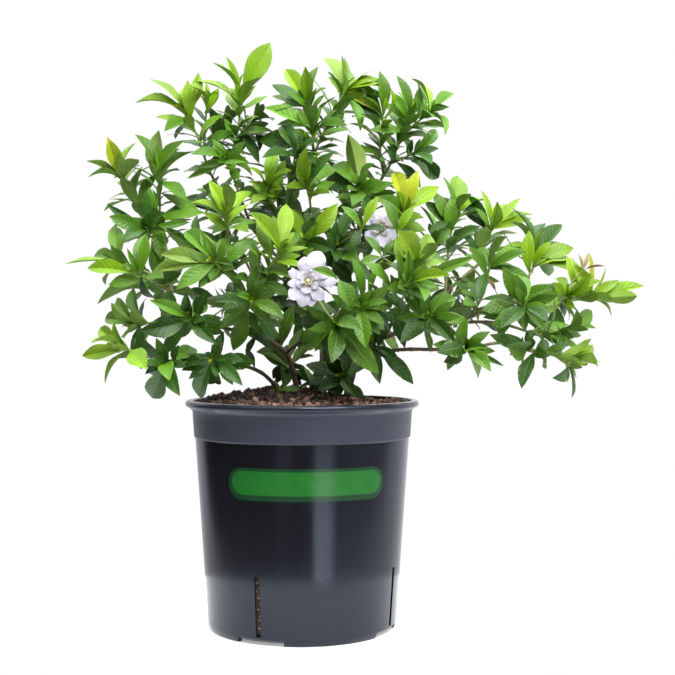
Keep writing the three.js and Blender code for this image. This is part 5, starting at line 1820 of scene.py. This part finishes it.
    def _try(self, line: Line, rule: Growth, draw: np.random.Generator) -> int:
        """Adds leaves in pairs down a stem, each pair square to the one above, where there is room.

        Args:
            line: the stem.
            rule: how such leaves grow.
            draw: the draws to use.

        Returns:
            How many leaves found room.
        """
        places = np.arange(rule.first, min(rule.last, line.run[-1] - 6), rule.step)
        if not len(places):
            return 0
        n = 2 * len(places)
        back = np.repeat(places, 2) + draw.uniform(-1.5, 1.5, n)
        foot, way = line.at(np.maximum(back, 0.4))
        across = ways_across(way, STEM_HINT)
        turn = np.repeat(np.arange(len(places)) * np.pi / 2 + draw.uniform(0, np.pi), 2)
        turn = turn + np.tile([0, np.pi], len(places)) + draw.uniform(-0.3, 0.3, n)
        lean = np.radians(draw.uniform(*rule.lean, n) + rule.lean_rate * back)
        long = draw.uniform(*rule.lengths, n) * np.clip(0.5 + back / 30, 0, 1)
        half = long * draw.uniform(*rule.widths, n) / 2
        arch = draw.uniform(0.05, 0.14, n)
        near = self.samples[nearest_on(line.path, self.samples)[1] < self.stem_reach]
        free = np.ones(n, bool)
        for shift in SHIFTS:
            tried = lean + 0.2 * shift
            spin = around(across, turn + shift)
            run = unit(way * np.cos(tried)[:, None] + spin * np.sin(tried)[:, None] - [0, 0, rule.sag])
            run[:, 2] = np.where(run[:, 2] < 0, run[:, 2] * rule.droop, run[:, 2])
            up = unit(way + [0, -0.45, 0.3]) + draw.uniform(-0.35, 0.35, way.shape)
            leaves = Blades(foot, foot + unit(run) * long[:, None], up, half, arch)
            spread = self._spread(leaves).reshape(n, -1, 3)[:, 1:]
            for k in np.flatnonzero(self._open(leaves) & free):
                if np.linalg.norm(near[:, None] - spread[k], axis=2).min() >= rule.room:
                    one = leaves.part(np.array([k]))
                    self._keep(line.name, one)
                    near = np.vstack([near, self._spread(one)])
                    free[k] = False
        return n - int(free.sum())

    def fill(self) -> None:
        """Adds the young leaves round every tip, then grown ones between those of the frame."""
        every = self.crown.lines
        lines = [line for line in every.values() if line.tips]
        for name, *sprig in SPRIGS:
            self.twigs.setdefault(every[name].node, []).append(self._sprig(name, *sprig))
        hosts = np.vstack([line.at(np.arange(2.0, line.run[-1] - 2, 4.0))[0] for line in every.values()])
        reach = np.stack([nearest_on(line.path, hosts)[1] for line in lines])
        names = [lines[k].name for k in np.argmin(reach, axis=0)]
        for k, thicket in enumerate(THICKETS):
            found = self._thicken(hosts, names, thicket, np.random.default_rng(3000 + k))
            log.info("thicket at %d, %d: %d of %d leaves", *thicket[:2], found, thicket[3])
        for rule in (self.fresh, self.grown):
            count = 0
            for k, line in enumerate(lines):
                count += self._try(line, rule, np.random.default_rng(4000 + k))
            log.info("%d leaves from %g mm down the stems", count, rule.first)

    def _shoot(self, line: Line, draw: np.random.Generator) -> list[Surface]:
        """The green stem itself, swollen a little where its leaves leave it, and its end bud.

        Args:
            line: the stem.
            draw: the random draws.

        Returns:
            The stem and the bud.
        """
        run = line.run
        u = run / run[-1]
        radius = np.interp(u, [0, 1], [line.root * 1.02, line.tip * 0.8])
        radius = radius * (1 + 0.14 * np.cos(2 * np.pi * run / self.ring_step) ** 8)
        radius[-1] *= 0.6
        old, new = linear("8aa650" if line.parent == "J" else "6d6a3c"), linear("86a545")
        tint = old + (new - old) * smooth_step(0.0, 0.7, u)[:, None]
        stem = tube(line.path, radius, 8, tint, 1 + 0.05 * draw.standard_normal((len(u), 8)), 1)
        tip, way = line.at(np.array([0.5, 0.5, 0.8, 0.8]))
        turn = np.array([0, np.pi, np.pi / 2, -np.pi / 2]) + draw.uniform(0, np.pi)
        out = around(ways_across(way, STEM_HINT), turn)
        long = draw.uniform(7, 15, 4)
        lean = np.array([0.18, 0.2, 0.38, 0.42])[:, None]
        end = tip + (way * np.cos(lean) + out * np.sin(lean)) * long[:, None]
        bud = Blades(tip, end, -out, long * 0.14, np.full(4, 0.1))
        tint = np.tile(Tone.YELLOW.light * 0.6 + Tone.LIME.light * 0.4, (4, 1))
        return [stem, grow_blades(bud, self.young, tint, np.zeros(4), 9)]

    def _leaves(self, line: Line, mine: Blades, seed: int, draw: np.random.Generator) -> list[Surface]:
        """A stem's leaves: the grown ones, and the young ones that are folded up by its tip.

        Args:
            line: the stem.
            mine: its grown leaves.
            seed: the seed of its leaves.
            draw: the random draws.

        Returns:
            The leaves' surfaces.
        """
        tint, mark = self._kinds(line, mine, draw)
        fresh = self._back(line, mine) < self.fresh_run
        return [grow_blades(mine.part(held), form, tint[held], mark[held], seed + young)
                for young, form, held in ((1, self.young, fresh), (0, self.form, ~fresh)) if held.any()]

    def make(self) -> None:
        """Makes a piece for each leafy node."""
        self.fill()
        for number, (node, leaves) in enumerate(self.crown.leaves.items()):
            lines = [line for line in self.crown.lines.values() if line.node == node and line.tips]
            owner = np.argmin([nearest_on(line.path, leaves.foot)[1] for line in lines], axis=0)
            parts: list[Surface] = []
            for k, line in enumerate(lines):
                draw = np.random.default_rng(7000 + 10 * number + k)
                mine = leaves.part(owner == k)
                if line.name in self.added:
                    mine = mine + self.added[line.name]
                parts += self._shoot(line, draw)
                parts += self._leaves(line, mine, 900 + number * 20 + k * 2, draw)
            names = [line.name for line in lines]
            parts += [bloom.stalk_surface(self.crown.lines[bloom.stalk_from])
                      for bloom in BLOOMS if bloom.stalk_from in names]
            parts += self.twigs.get(node, [])
            make_piece(node + "_dressed", parts, [self.paints.leaf, self.paints.shoot],
                       [node])


# ---------------------------------------------------------------- woody stems
@dataclass(frozen=True)
class Woods:
    """The woody stems, with their bark, swellings at the old leaf rings and a flare at the foot."""

    sides: int = 12
    ring_step: float = 22.0
    swell: float = 0.16
    flare: float = 0.3
    flare_at: float = 26.0
    flare_long: float = 14.0

    def _branch(self, line: Line, trunk: bool, draw: np.random.Generator) -> Surface:
        """One branch: its radius swells at each old leaf ring, and near the soil.

        Args:
            line: the branch.
            trunk: whether it comes out of the soil.
            draw: the random draws.

        Returns:
            The branch.
        """
        run = line.run
        radius = line.radius * (1 + self.swell * np.cos(np.pi * run / self.ring_step) ** 16)
        if trunk:
            radius = radius * (1 + self.flare * np.exp(-((run - self.flare_at) / self.flare_long) ** 2))
        lumps = 1 + 0.07 * draw.standard_normal((len(run), self.sides))
        lumps = (lumps + np.roll(lumps, 1, axis=1) + np.roll(lumps, -1, axis=1)) / 3
        old, new = linear("5d4c3c"), linear("7d7a52")
        tint = old + (new - old) * smooth_step(0.25, 1.0, run / run[-1])[:, None]
        tint = tint * draw.uniform(0.8, 1.2, (len(run), 1))
        return tube(line.path, radius, self.sides, tint, lumps)

    def make(self, crown: Crown, paints: Paints) -> None:
        """Makes a piece for each woody stem.

        Args:
            crown: the stems.
            paints: the finishes.
        """
        nodes: dict[str, list[Surface]] = {}
        draw = np.random.default_rng(31)
        for name, *_ in BRANCHES:
            line = crown.lines[name]
            parts = nodes.setdefault(line.node, [])
            parts.append(self._branch(line, not parts, draw))
        for node, parts in nodes.items():
            make_piece(node + "_bark", parts, [paints.bark], [node])


# ---------------------------------------------------------------- the pot
def turn_from(angle: Array, marks: Array) -> Array:
    """How far each angle is from the nearest mark, round the circle, in radians."""
    return np.abs((angle[:, None] - marks + np.pi) % (2 * np.pi) - np.pi).min(axis=1)


@dataclass(frozen=True)
class Pot:
    """The moulded pot: a tapered body, a band with a rolled lip, a raised foot, slits and notches."""

    height: float = 241.0
    wall: float = 2.0
    hub: float = 4.0
    lip: float = 125.0
    bore: float = 117.0
    roll: float = 3.5
    band_top: tuple[float, float] = (117.5, 231.5)
    band_foot: tuple[float, float] = (115.6, 203.8)
    body_top: tuple[float, float] = (114.3, 201.6)
    heel: tuple[float, float] = (100.6, 6.0)
    foot: float = 98.5
    foot_width: float = 5.0
    plate: float = 4.0
    pad: float = 30.0
    inner_step: float = 4.0
    heel_bevel: float = 3.0
    slits: int = 4
    slit_first: float = -114.2
    slit_width: float = 5.5
    slit_low: float = 8.0
    slit_high: float = 69.0
    slit_middle: float = 38.0
    notch_width: float = 51.0
    notch_height: float = 3.4
    notch_ease: float = 0.006
    columns: int = 240
    column_gap: float = 0.008
    slit_rows: int = 8

    def outer(self, z: Array) -> Array:
        """The body's outer radius at a height."""
        (r0, z0), (r1, z1) = self.heel, self.body_top
        return r0 + (r1 - r0) * (np.asarray(z) - z0) / (z1 - z0)

    def profile(self) -> tuple[Array, int, int]:
        """The closed section, from under the middle round to the inner floor's middle.

        Returns:
            The (radius, z) rows, and the first rows of the slit outside and inside.
        """
        up = np.linspace(self.slit_low, self.slit_high, self.slit_rows)
        ring, high = self.foot - self.foot_width, self.height
        low = [(self.hub, 0), (self.pad, 0), (self.pad + 2, self.plate), (ring - 1, self.plate), (ring, 0.4),
               (ring + 0.4, 0), (self.foot - 0.5, 0), (self.foot, 0.5), self.heel]
        body = [(self.outer(z), z) for z in up]
        rise = [(self.outer(z), z) for z in np.linspace(self.slit_high, self.body_top[1], 9)[1:]]
        band = zip(np.linspace(115.7, 117.3, 4), np.linspace(205, 229.5, 4))
        (foot, foot_z) = self.band_foot
        step = [(foot - 0.4, foot_z - 1.5), (foot, foot_z - 0.8), *band, (118.3, 231.2)]
        roll = [(self.lip + self.roll * (math.cos(a) - 1), high + self.roll * (math.sin(a) - 1))
                for a in np.linspace(-np.pi / 2, np.pi / 2, 11)]
        inner_top = self.body_top[0] - self.wall, self.body_top[1] - self.inner_step
        mouth = [(self.bore + 0.8, high), (self.bore, high - 0.8),
                 (self.band_top[0] - self.wall, self.band_top[1] - self.inner_step), inner_top]
        floor = self.plate + self.wall
        inner_foot = self.heel[0] - self.wall, floor + self.heel_bevel
        down = up[:0:-1]
        share = (down - inner_foot[1]) / (inner_top[1] - inner_foot[1])
        inside = list(zip(inner_foot[0] + (inner_top[0] - inner_foot[0]) * share, down))
        last = [(inner_foot[0] - inner_foot[1] + self.slit_low, self.slit_low),
                (inner_foot[0] - self.heel_bevel, floor), (40, floor), (self.hub, floor)]
        rows = low + body + rise + step + roll + mouth + inside + last
        return np.array(rows), len(low), len(rows) - len(last) - len(inside)

    def _angles(self) -> tuple[Array, Array, Array]:
        """The columns' angles, the columns where a slit begins, and each one's share of a notch.

        Returns:
            The angles, the columns and the shares.
        """
        first = np.radians(self.slit_first + 360 / self.slits * np.arange(self.slits))[:, None]
        slit = self.slit_width / 2 / self.outer(self.slit_middle)
        notch = self.notch_width / 2 / self.foot
        steps = np.array([-notch - self.notch_ease, -notch, -slit, slit, notch, notch + self.notch_ease])
        special = ((first + steps) % (2 * np.pi)).ravel()
        even = 2 * np.pi * np.arange(self.columns) / self.columns
        even = even[(turn_from(even, special) > self.column_gap) & (turn_from(even, first.T) > slit)]
        angle = np.sort(np.concatenate([even, special]))
        away = turn_from(angle, first.T)
        starts = np.array([np.argmin(np.abs(angle - (a - slit) % (2 * np.pi))) for a in first.ravel()])
        return angle, starts, away < notch + self.notch_ease / 2

    def make(self, paints: Paints) -> None:
        """Makes the pot: the turned section, opened at the slits, whose sides are closed.

        Args:
            paints: the finishes.
        """
        rows, out, inside = self.profile()
        angle, starts, notched = self._angles()
        sides = len(angle)
        rings = np.stack([rows[:, :1] * np.cos(angle), rows[:, :1] * np.sin(angle),
                          np.broadcast_to(rows[:, 1:], (len(rows), sides))], axis=-1)
        rings[4:8, :, 2] += self.notch_height * notched
        whole = capped_tube(rings, np.ones(3))
        cells = sides * np.arange(self.slit_rows - 1)[:, None]
        keep = np.ones(len(whole.faces), bool)
        for row in (out, inside):
            keep[(cells + sides * row + starts).ravel()] = False
        k = np.arange(self.slit_rows)
        ring_out, ring_in = out + k, inside + self.slit_rows - 1 - k
        walls = []
        for start in starts:
            end = (start + 1) % sides
            a, b = sides * ring_out + start, sides * ring_in + start
            c, d = sides * ring_out + end, sides * ring_in + end
            walls.append(np.stack([a[:-1], a[1:], b[1:], b[:-1]], axis=1))
            walls.append(np.stack([c[:-1], d[:-1], d[1:], c[1:]], axis=1))
            walls.append([[a[0], b[0], d[0], c[0]], [a[-1], c[-1], d[-1], b[-1]]])
        walls = np.vstack(walls)
        uv = np.concatenate([whole.uv[keep], np.zeros((len(walls), 4, 2))])
        shell = replace(whole, faces=np.vstack([whole.faces[keep], walls]), uv=uv)
        make_piece("pot_moulded", [shell], [paints.pot], ["pot"], sharp=32)


@dataclass(frozen=True)
class Label:
    """A plain printed bar with round ends that wraps round the pot's body, in a darker rim: the rim is the
    label's own edge, and it shows wider below the bar than above it as a painted shadow.
    """

    middle: float = -85.55
    z: float = 161.9
    half_height: float = 16.3
    half_length: float = 86.2
    # The bar sits higher than the rim's middle, so that the darker rim is wider below it: a painted shadow of
    # the bar
    bar_z: float = 163.1
    bar_half_height: float = 11.9
    bar_half_length: float = 81.5
    proud: float = 0.12
    sunk: float = 0.9
    columns: int = 41
    rows: int = 7

    def _bar(self, pot: Pot, middle: float, high: float, long: float, proud: float) -> Surface:
        """A closed bar on the body: rings across it, from one round end to the other.

        Args:
            pot: the pot.
            middle: the height of its middle.
            high: its height.
            long: its length.
            proud: how far it stands out.

        Returns:
            The bar.
        """
        turn = np.radians(np.linspace(4, 90, 12))
        end, rise = long - high + high * np.cos(turn), high * np.sin(turn)
        straight = np.linspace(high - long, long - high, self.columns)[1:-1]
        x = np.concatenate([-end, straight, end[::-1]])
        tall = np.concatenate([rise, np.full(len(straight), high), rise[::-1]])
        v = np.linspace(1, -1, self.rows)
        z = middle + tall[:, None] * np.concatenate([v, v[::-1]])
        r = pot.outer(z) + np.repeat([proud, -self.sunk], self.rows)
        angle = np.radians(self.middle) + x[:, None] / pot.outer(self.z)
        rings = np.stack([r * np.cos(angle), r * np.sin(angle), z], axis=-1)
        return capped_tube(rings, np.ones(3))

    def make(self, pot: Pot, paints: Paints) -> None:
        """Makes the rim and the bar on it.

        Args:
            pot: the pot.
            paints: the finishes.
        """
        rim = self._bar(pot, self.z, self.half_height, self.half_length, self.proud)
        bar = self._bar(pot, self.bar_z, self.bar_half_height, self.bar_half_length, self.proud * 2)
        make_piece("label_rim", [rim], [paints.label_rim], [])
        make_piece("label_bar", [bar], [paints.label], [])


# ---------------------------------------------------------------- the soil
@dataclass(frozen=True)
class Soil:
    """The soil: a lumpy top in the pot's mouth, with crumbs and clods lying on it."""

    level: float = 237.0
    brim: float = 113.4
    floor: float = 6.3
    side_gap: float = 1.0
    rings: int = 70
    sectors: int = 200
    crumbs: int = 1500
    crumb_top: float = 252.0
    clods: int = 130
    chips: int = 60

    def height(self, x: Array, y: Array) -> Array:
        """The top's height: a mound behind the stems, a dip at the right, and clods.

        Args:
            x: the places across.
            y: the places in depth.

        Returns:
            The heights.
        """
        mound = 14 * np.exp(-((x + 22) / 60) ** 2 - ((y - 30) / 54) ** 2)
        dip = -2 * np.exp(-((x - 70) / 42) ** 2 - ((y - 60) / 55) ** 2)
        large = 1.3 * np.sin(0.19 * x + 0.7) * np.cos(0.23 * y)
        return self.level + mound + dip + large + 0.9 * np.sin(0.41 * x - 0.33 * y + 1.1)

    def _bed(self, pot: Pot) -> Surface:
        """The block of soil, whose top is roughened by short sine waves and a seeded draw.

        Args:
            pot: the pot.

        Returns:
            The block.
        """
        inner = np.linspace(2.0, self.brim, self.rings)[::-1]
        wall = pot.wall + self.side_gap
        side = [(pot.outer(z) - wall, z) for z in np.linspace(9.3, 197, 24)]
        floor = [(4, self.floor), (60, self.floor), (pot.heel[0] - wall - pot.heel_bevel, self.floor)]
        rows = np.array(floor + side + [(r, self.level) for r in inner])
        angle = 2 * np.pi * np.arange(self.sectors) / self.sectors
        x, y = rows[:, :1] * np.cos(angle), rows[:, :1] * np.sin(angle)
        z = np.broadcast_to(rows[:, 1:], x.shape).copy()
        draw = np.random.default_rng(5)
        top = len(floor) + len(side)
        rough = 0.7 * np.sin(0.9 * x[top:] + 2 * np.sin(0.5 * y[top:])) * np.sin(0.8 * y[top:] + 0.4)
        rough = rough + 0.35 * draw.standard_normal(rough.shape) * np.clip(rows[top:, :1] / 30, 0.1, 1)
        z[top:] = self.height(x[top:], y[top:]) + rough
        bed = capped_tube(np.stack([x, y, z], axis=-1), linear("2b221d"))
        dark, warm = linear("221b18"), linear("4a3832")
        share = np.clip(0.4 + 0.5 * draw.standard_normal(len(bed.points)), 0, 1)[:, None]
        return replace(bed, tint=dark + (warm - dark) * share)

    def _lumps(self, place: Array, size: Array, tint: Array, draw: np.random.Generator) -> Surface:
        """Lumps: a 20-faced ball each, stretched and dented by draws, and turned at random.

        Args:
            place: the middles.
            size: the radii.
            tint: the colours.
            draw: the random draws.

        Returns:
            The lumps.
        """
        gold = (1 + 5 ** 0.5) / 2
        ball = np.array([(a, b * gold, 0) for a in (-1, 1) for b in (-1, 1)])
        ball = unit(np.vstack([ball, np.roll(ball, 1, axis=1), np.roll(ball, 2, axis=1)]))
        near = np.linalg.norm(ball[:, None] - ball, axis=2) < 1.2
        three = near[:, :, None] & near[:, None, :] & near[None]
        i, j, k = np.array([c for c in np.argwhere(three) if c[0] < c[1] < c[2]]).T
        flip = np.sum(np.cross(ball[j] - ball[i], ball[k] - ball[i]) * ball[i], axis=1) < 0
        faces = np.stack([i, np.where(flip, k, j), np.where(flip, j, k), np.full(len(i), -1)], axis=1)
        n = len(place)
        turn = draw.standard_normal((n, 3, 3))
        e1 = unit(turn[:, 0])
        e2 = square(turn[:, 1], e1)
        axes = np.stack([e1, e2, np.cross(e1, e2)], axis=1)
        shape = ball[None] * draw.uniform(0.55, 1.0, (n, 1, 3)) * draw.uniform(0.85, 1.12, (n, 12, 1))
        points = place[:, None] + np.einsum("npk,nkx->npx", shape * size[:, None, None], axes)
        every = np.where(faces < 0, -1, faces + 12 * np.arange(n)[:, None, None]).reshape(-1, 4)
        colour = np.repeat(tint, 12, axis=0)
        return Surface(points.reshape(-1, 3), every, np.zeros((len(every), 4, 2)), colour, np.zeros(12 * n))

    def _crumbs(self, draw: np.random.Generator) -> Surface:
        """Crumbs of bark on the top: pink brown in front, nearly black at the back left.

        Args:
            draw: the random draws.

        Returns:
            The crumbs.
        """
        n = self.crumbs
        r = self.brim * np.sqrt(draw.uniform(0.001, 0.97, n))
        turn = draw.uniform(0, 2 * np.pi, n)
        x, y = r * np.cos(turn), r * np.sin(turn)
        size = np.clip(np.exp(draw.normal(1.05, 0.34, n)), 1.4, 5.2)
        z = self.height(x, y) + size * draw.uniform(-0.1, 0.5, n)
        place = np.stack([x, y, np.minimum(z, self.crumb_top)], axis=1)
        share = draw.uniform(0, 1, n) ** 1.5 + 0.3 * ((x < -20) & (y > -30))
        steps = np.array([linear("b08a79"), linear("80604f"), linear("241d1b")])
        return self._lumps(place, size, along([0, 0.3, 1], steps, share), draw)

    def _clods(self, draw: np.random.Generator) -> Surface:
        """Large dark clods at the back left, and a few elsewhere.

        Args:
            draw: the random draws.

        Returns:
            The clods.
        """
        n = self.clods
        left = draw.uniform(0, 1, n) < 0.7
        x = np.where(left, draw.normal(-55, 26, n), draw.uniform(-80, 80, n))
        y = np.where(left, draw.normal(-10, 40, n), draw.uniform(-90, 90, n))
        short = np.minimum(1, 104 / np.maximum(np.hypot(x, y), 1))
        x, y = x * short, y * short
        size = draw.uniform(3.0, 6.5, n)
        place = np.stack([x, y, self.height(x, y) + 0.2 * size], axis=1)
        dark, warm = linear("1b1717"), linear("4f3a33")
        tint = dark + (warm - dark) * draw.uniform(0, 0.7, (n, 1))
        return self._lumps(place, size, tint, draw)

    def _chips(self, pot: Pot, draw: np.random.Generator) -> Surface:
        """Crumbs that show in the pot's slits.

        Args:
            pot: the pot.
            draw: the random draws.

        Returns:
            The crumbs.
        """
        n = self.chips
        k = np.arange(n) % pot.slits
        z = draw.uniform(pot.slit_low + 3, pot.slit_high - 3, n)
        turn = np.radians(pot.slit_first + 360 / pot.slits * k)
        turn = turn + draw.uniform(-1, 1, n) * 1.6 / pot.outer(pot.slit_middle)
        r = pot.outer(z) - pot.wall - self.side_gap - 0.4
        place = np.stack([r * np.cos(turn), r * np.sin(turn), z], axis=1)
        pink, brown = linear("b08c80"), linear("4a362e")
        size = draw.uniform(1.0, 1.7, n)
        return self._lumps(place, size, pink + (brown - pink) * draw.uniform(0, 1, (n, 1)), draw)

    def make(self, pot: Pot, paints: Paints) -> None:
        """Makes the soil with all its crumbs.

        Args:
            pot: the pot.
            paints: the finishes.
        """
        draw = np.random.default_rng(77)
        parts = [self._bed(pot), self._crumbs(draw), self._clods(draw), self._chips(pot, draw)]
        make_piece("soil_crumbled", parts, [paints.soil], ["soil"], sharp=60)


# ---------------------------------------------------------------- the studio
@dataclass(frozen=True)
class Studio:
    """A plain pale floor in soft white light, and the camera of the front view."""

    camera: tuple[float, float, float] = (0.03755, -1.319, 0.3076)
    lens: float = 65.55
    floor_radius: float = 0.3
    floor_hub: float = 0.002
    floor_drop: float = 0.0005
    key: float = 55.0
    top: float = 30.0
    sky: float = 0.8
    pale: float = 0.75
    glow: float = 0.35
    dark: float = 0.02
    tint: tuple[float, float, float, float] = (0.96, 0.97, 1.02, 1.0)
    dark_middle: float = -10.0
    dark_wide: float = 118.0
    dark_level: float = -8.0
    dark_over: float = 34.0
    dark_under: float = 11.0
    strips: tuple = ((-19.6, -15.6, 14.0, 36.0, 4.5), (-15.6, -12.6, 14.0, 34.0, 1.6),
                     (-14.2, -12.8, -28.0, -9.0, 1.1))
    sectors: int = 96

    def _world(self) -> None:
        """White to the camera, and else pale with a dark oval in front, where soft strips shine.

        Azimuth a runs from the camera's side and elevation e up from level, in degrees. It is
        dark where (a / wide)^2 + ((e - level) / tall)^2 < 1, with one height above the level and
        another below it. A strip is [low, high, left, right, power].
        """
        world = bpy.data.worlds.new("studio")
        world.use_nodes = True
        graph = Graph(world.node_tree)
        x, y, z = graph.split(graph.value("TexCoord", output="Generated"))
        azimuth = graph.math("DEGREES", graph.math("ARCTAN2", x, y * -1.0))
        rise = graph.math("DEGREES", graph.math("ARCSINE", z))
        aside = (azimuth - self.dark_middle) / self.dark_wide
        off = rise - self.dark_level
        over = graph.math("MAXIMUM", off / self.dark_over, off / -self.dark_under)
        away = graph.math("SQRT", aside * aside + over * over)
        light = graph.mask(away, 0.93, 1.07) * self.pale
        for low, high, left, right, power in self.strips:
            box = graph.mask(rise, low - 0.7, low + 0.7) * (1.0 - graph.mask(rise, high - 0.7, high + 0.7))
            box = box * graph.mask(azimuth, left - 3, left + 3)
            box = box * (1.0 - graph.mask(azimuth, right - 5, right + 5))
            light = light + box * power
        light = light + graph.mask(azimuth, 5.0, 60.0) * self.glow
        light = light + graph.mask(rise, 15.0, 50.0) * self.sky + self.dark
        camera = graph.value("LightPath", output="Is Camera Ray")
        light = light * (1.0 - camera) + camera
        colour = graph.mix(camera, self.tint, (1.0, 1.0, 1.0, 1.0))
        shine = graph.value("Background", {"Color": colour, "Strength": light})
        graph.node("OutputWorld", {0: shine})
        bpy.context.scene.world = world

    def _lamp(self, name: str, at: tuple, aim: tuple, size: tuple, power: float) -> None:
        """A soft rectangular lamp at a place, aimed at another, with a power in watts.

        Args:
            name: the lamp's name.
            at: where it stands.
            aim: where it points.
            size: its width and height.
            power: its power.
        """
        lamp = bpy.data.lights.new(name, "AREA")
        lamp.shape = "RECTANGLE"
        lamp.size, lamp.size_y = size
        lamp.energy = power
        thing = bpy.data.objects.new(name, lamp)
        thing.location = at
        way = Vector(aim) - Vector(at)
        thing.rotation_euler = way.to_track_quat("-Z", "Y").to_euler()
        bpy.context.scene.collection.objects.link(thing)

    def _floor(self) -> None:
        """The pale round floor, lit up to white."""
        n = self.sectors
        j = np.arange(n)
        turn = 2 * np.pi * j / n
        ring = np.stack([np.cos(turn), np.sin(turn), np.zeros(n)], axis=1)
        rings = np.vstack([ring * self.floor_hub, ring * self.floor_radius]) - [0, 0, self.floor_drop]
        sides = np.stack([j, j + n, (j + 1) % n + n, (j + 1) % n], axis=1)
        mesh = bpy.data.meshes.new("floor")
        mesh.from_pydata(rings.tolist(), [], [*sides.tolist(), list(range(n))])
        floor = bpy.data.objects.new("floor", mesh)
        paint = Paint("floor")
        paint.feed(paint.shader, {
            "Base Color": (0.93, 0.93, 0.93, 1), "Roughness": 0.9, "Specular IOR Level": 0.1,
            "Emission Color": (1, 1, 1, 1), "Emission Strength": 0.35})
        mesh.materials.append(paint.material)
        bpy.context.scene.collection.objects.link(floor)

    def make(self) -> None:
        """Sets up the world, the lamps, the floor and the camera."""
        self._world()
        self._floor()
        self._lamp("key", (0.7, -1.5, 1.8), (0, 0, 0.35), (1.6, 1.2), self.key)
        self._lamp("top", (0.1, 0.2, 2.4), (0, 0, 0.2), (2.0, 2.0), self.top)
        camera = bpy.data.cameras.new("view")
        camera.lens = self.lens
        camera.sensor_width = 36.0
        thing = bpy.data.objects.new("view", camera)
        thing.location = self.camera
        thing.rotation_euler = (math.pi / 2, 0, 0)
        scene = bpy.context.scene
        scene.collection.objects.link(thing)
        scene.camera = thing
        scene.view_settings.view_transform = "Standard"


# ---------------------------------------------------------------- the whole scene
def main() -> None:
    """Dresses the frame, piece by piece, and lights it."""
    logging.basicConfig(level=logging.INFO, format="%(message)s")
    paints = Paints()
    pot = Pot()
    pot.make(paints)
    Label().make(pot, paints)
    Soil().make(pot, paints)
    crown = Crown()
    Woods().make(crown, paints)
    for bloom in BLOOMS:
        bloom.make(paints)
    Foliage(crown, paints).make()
    Studio().make()


if __name__ == "__main__":
    main()
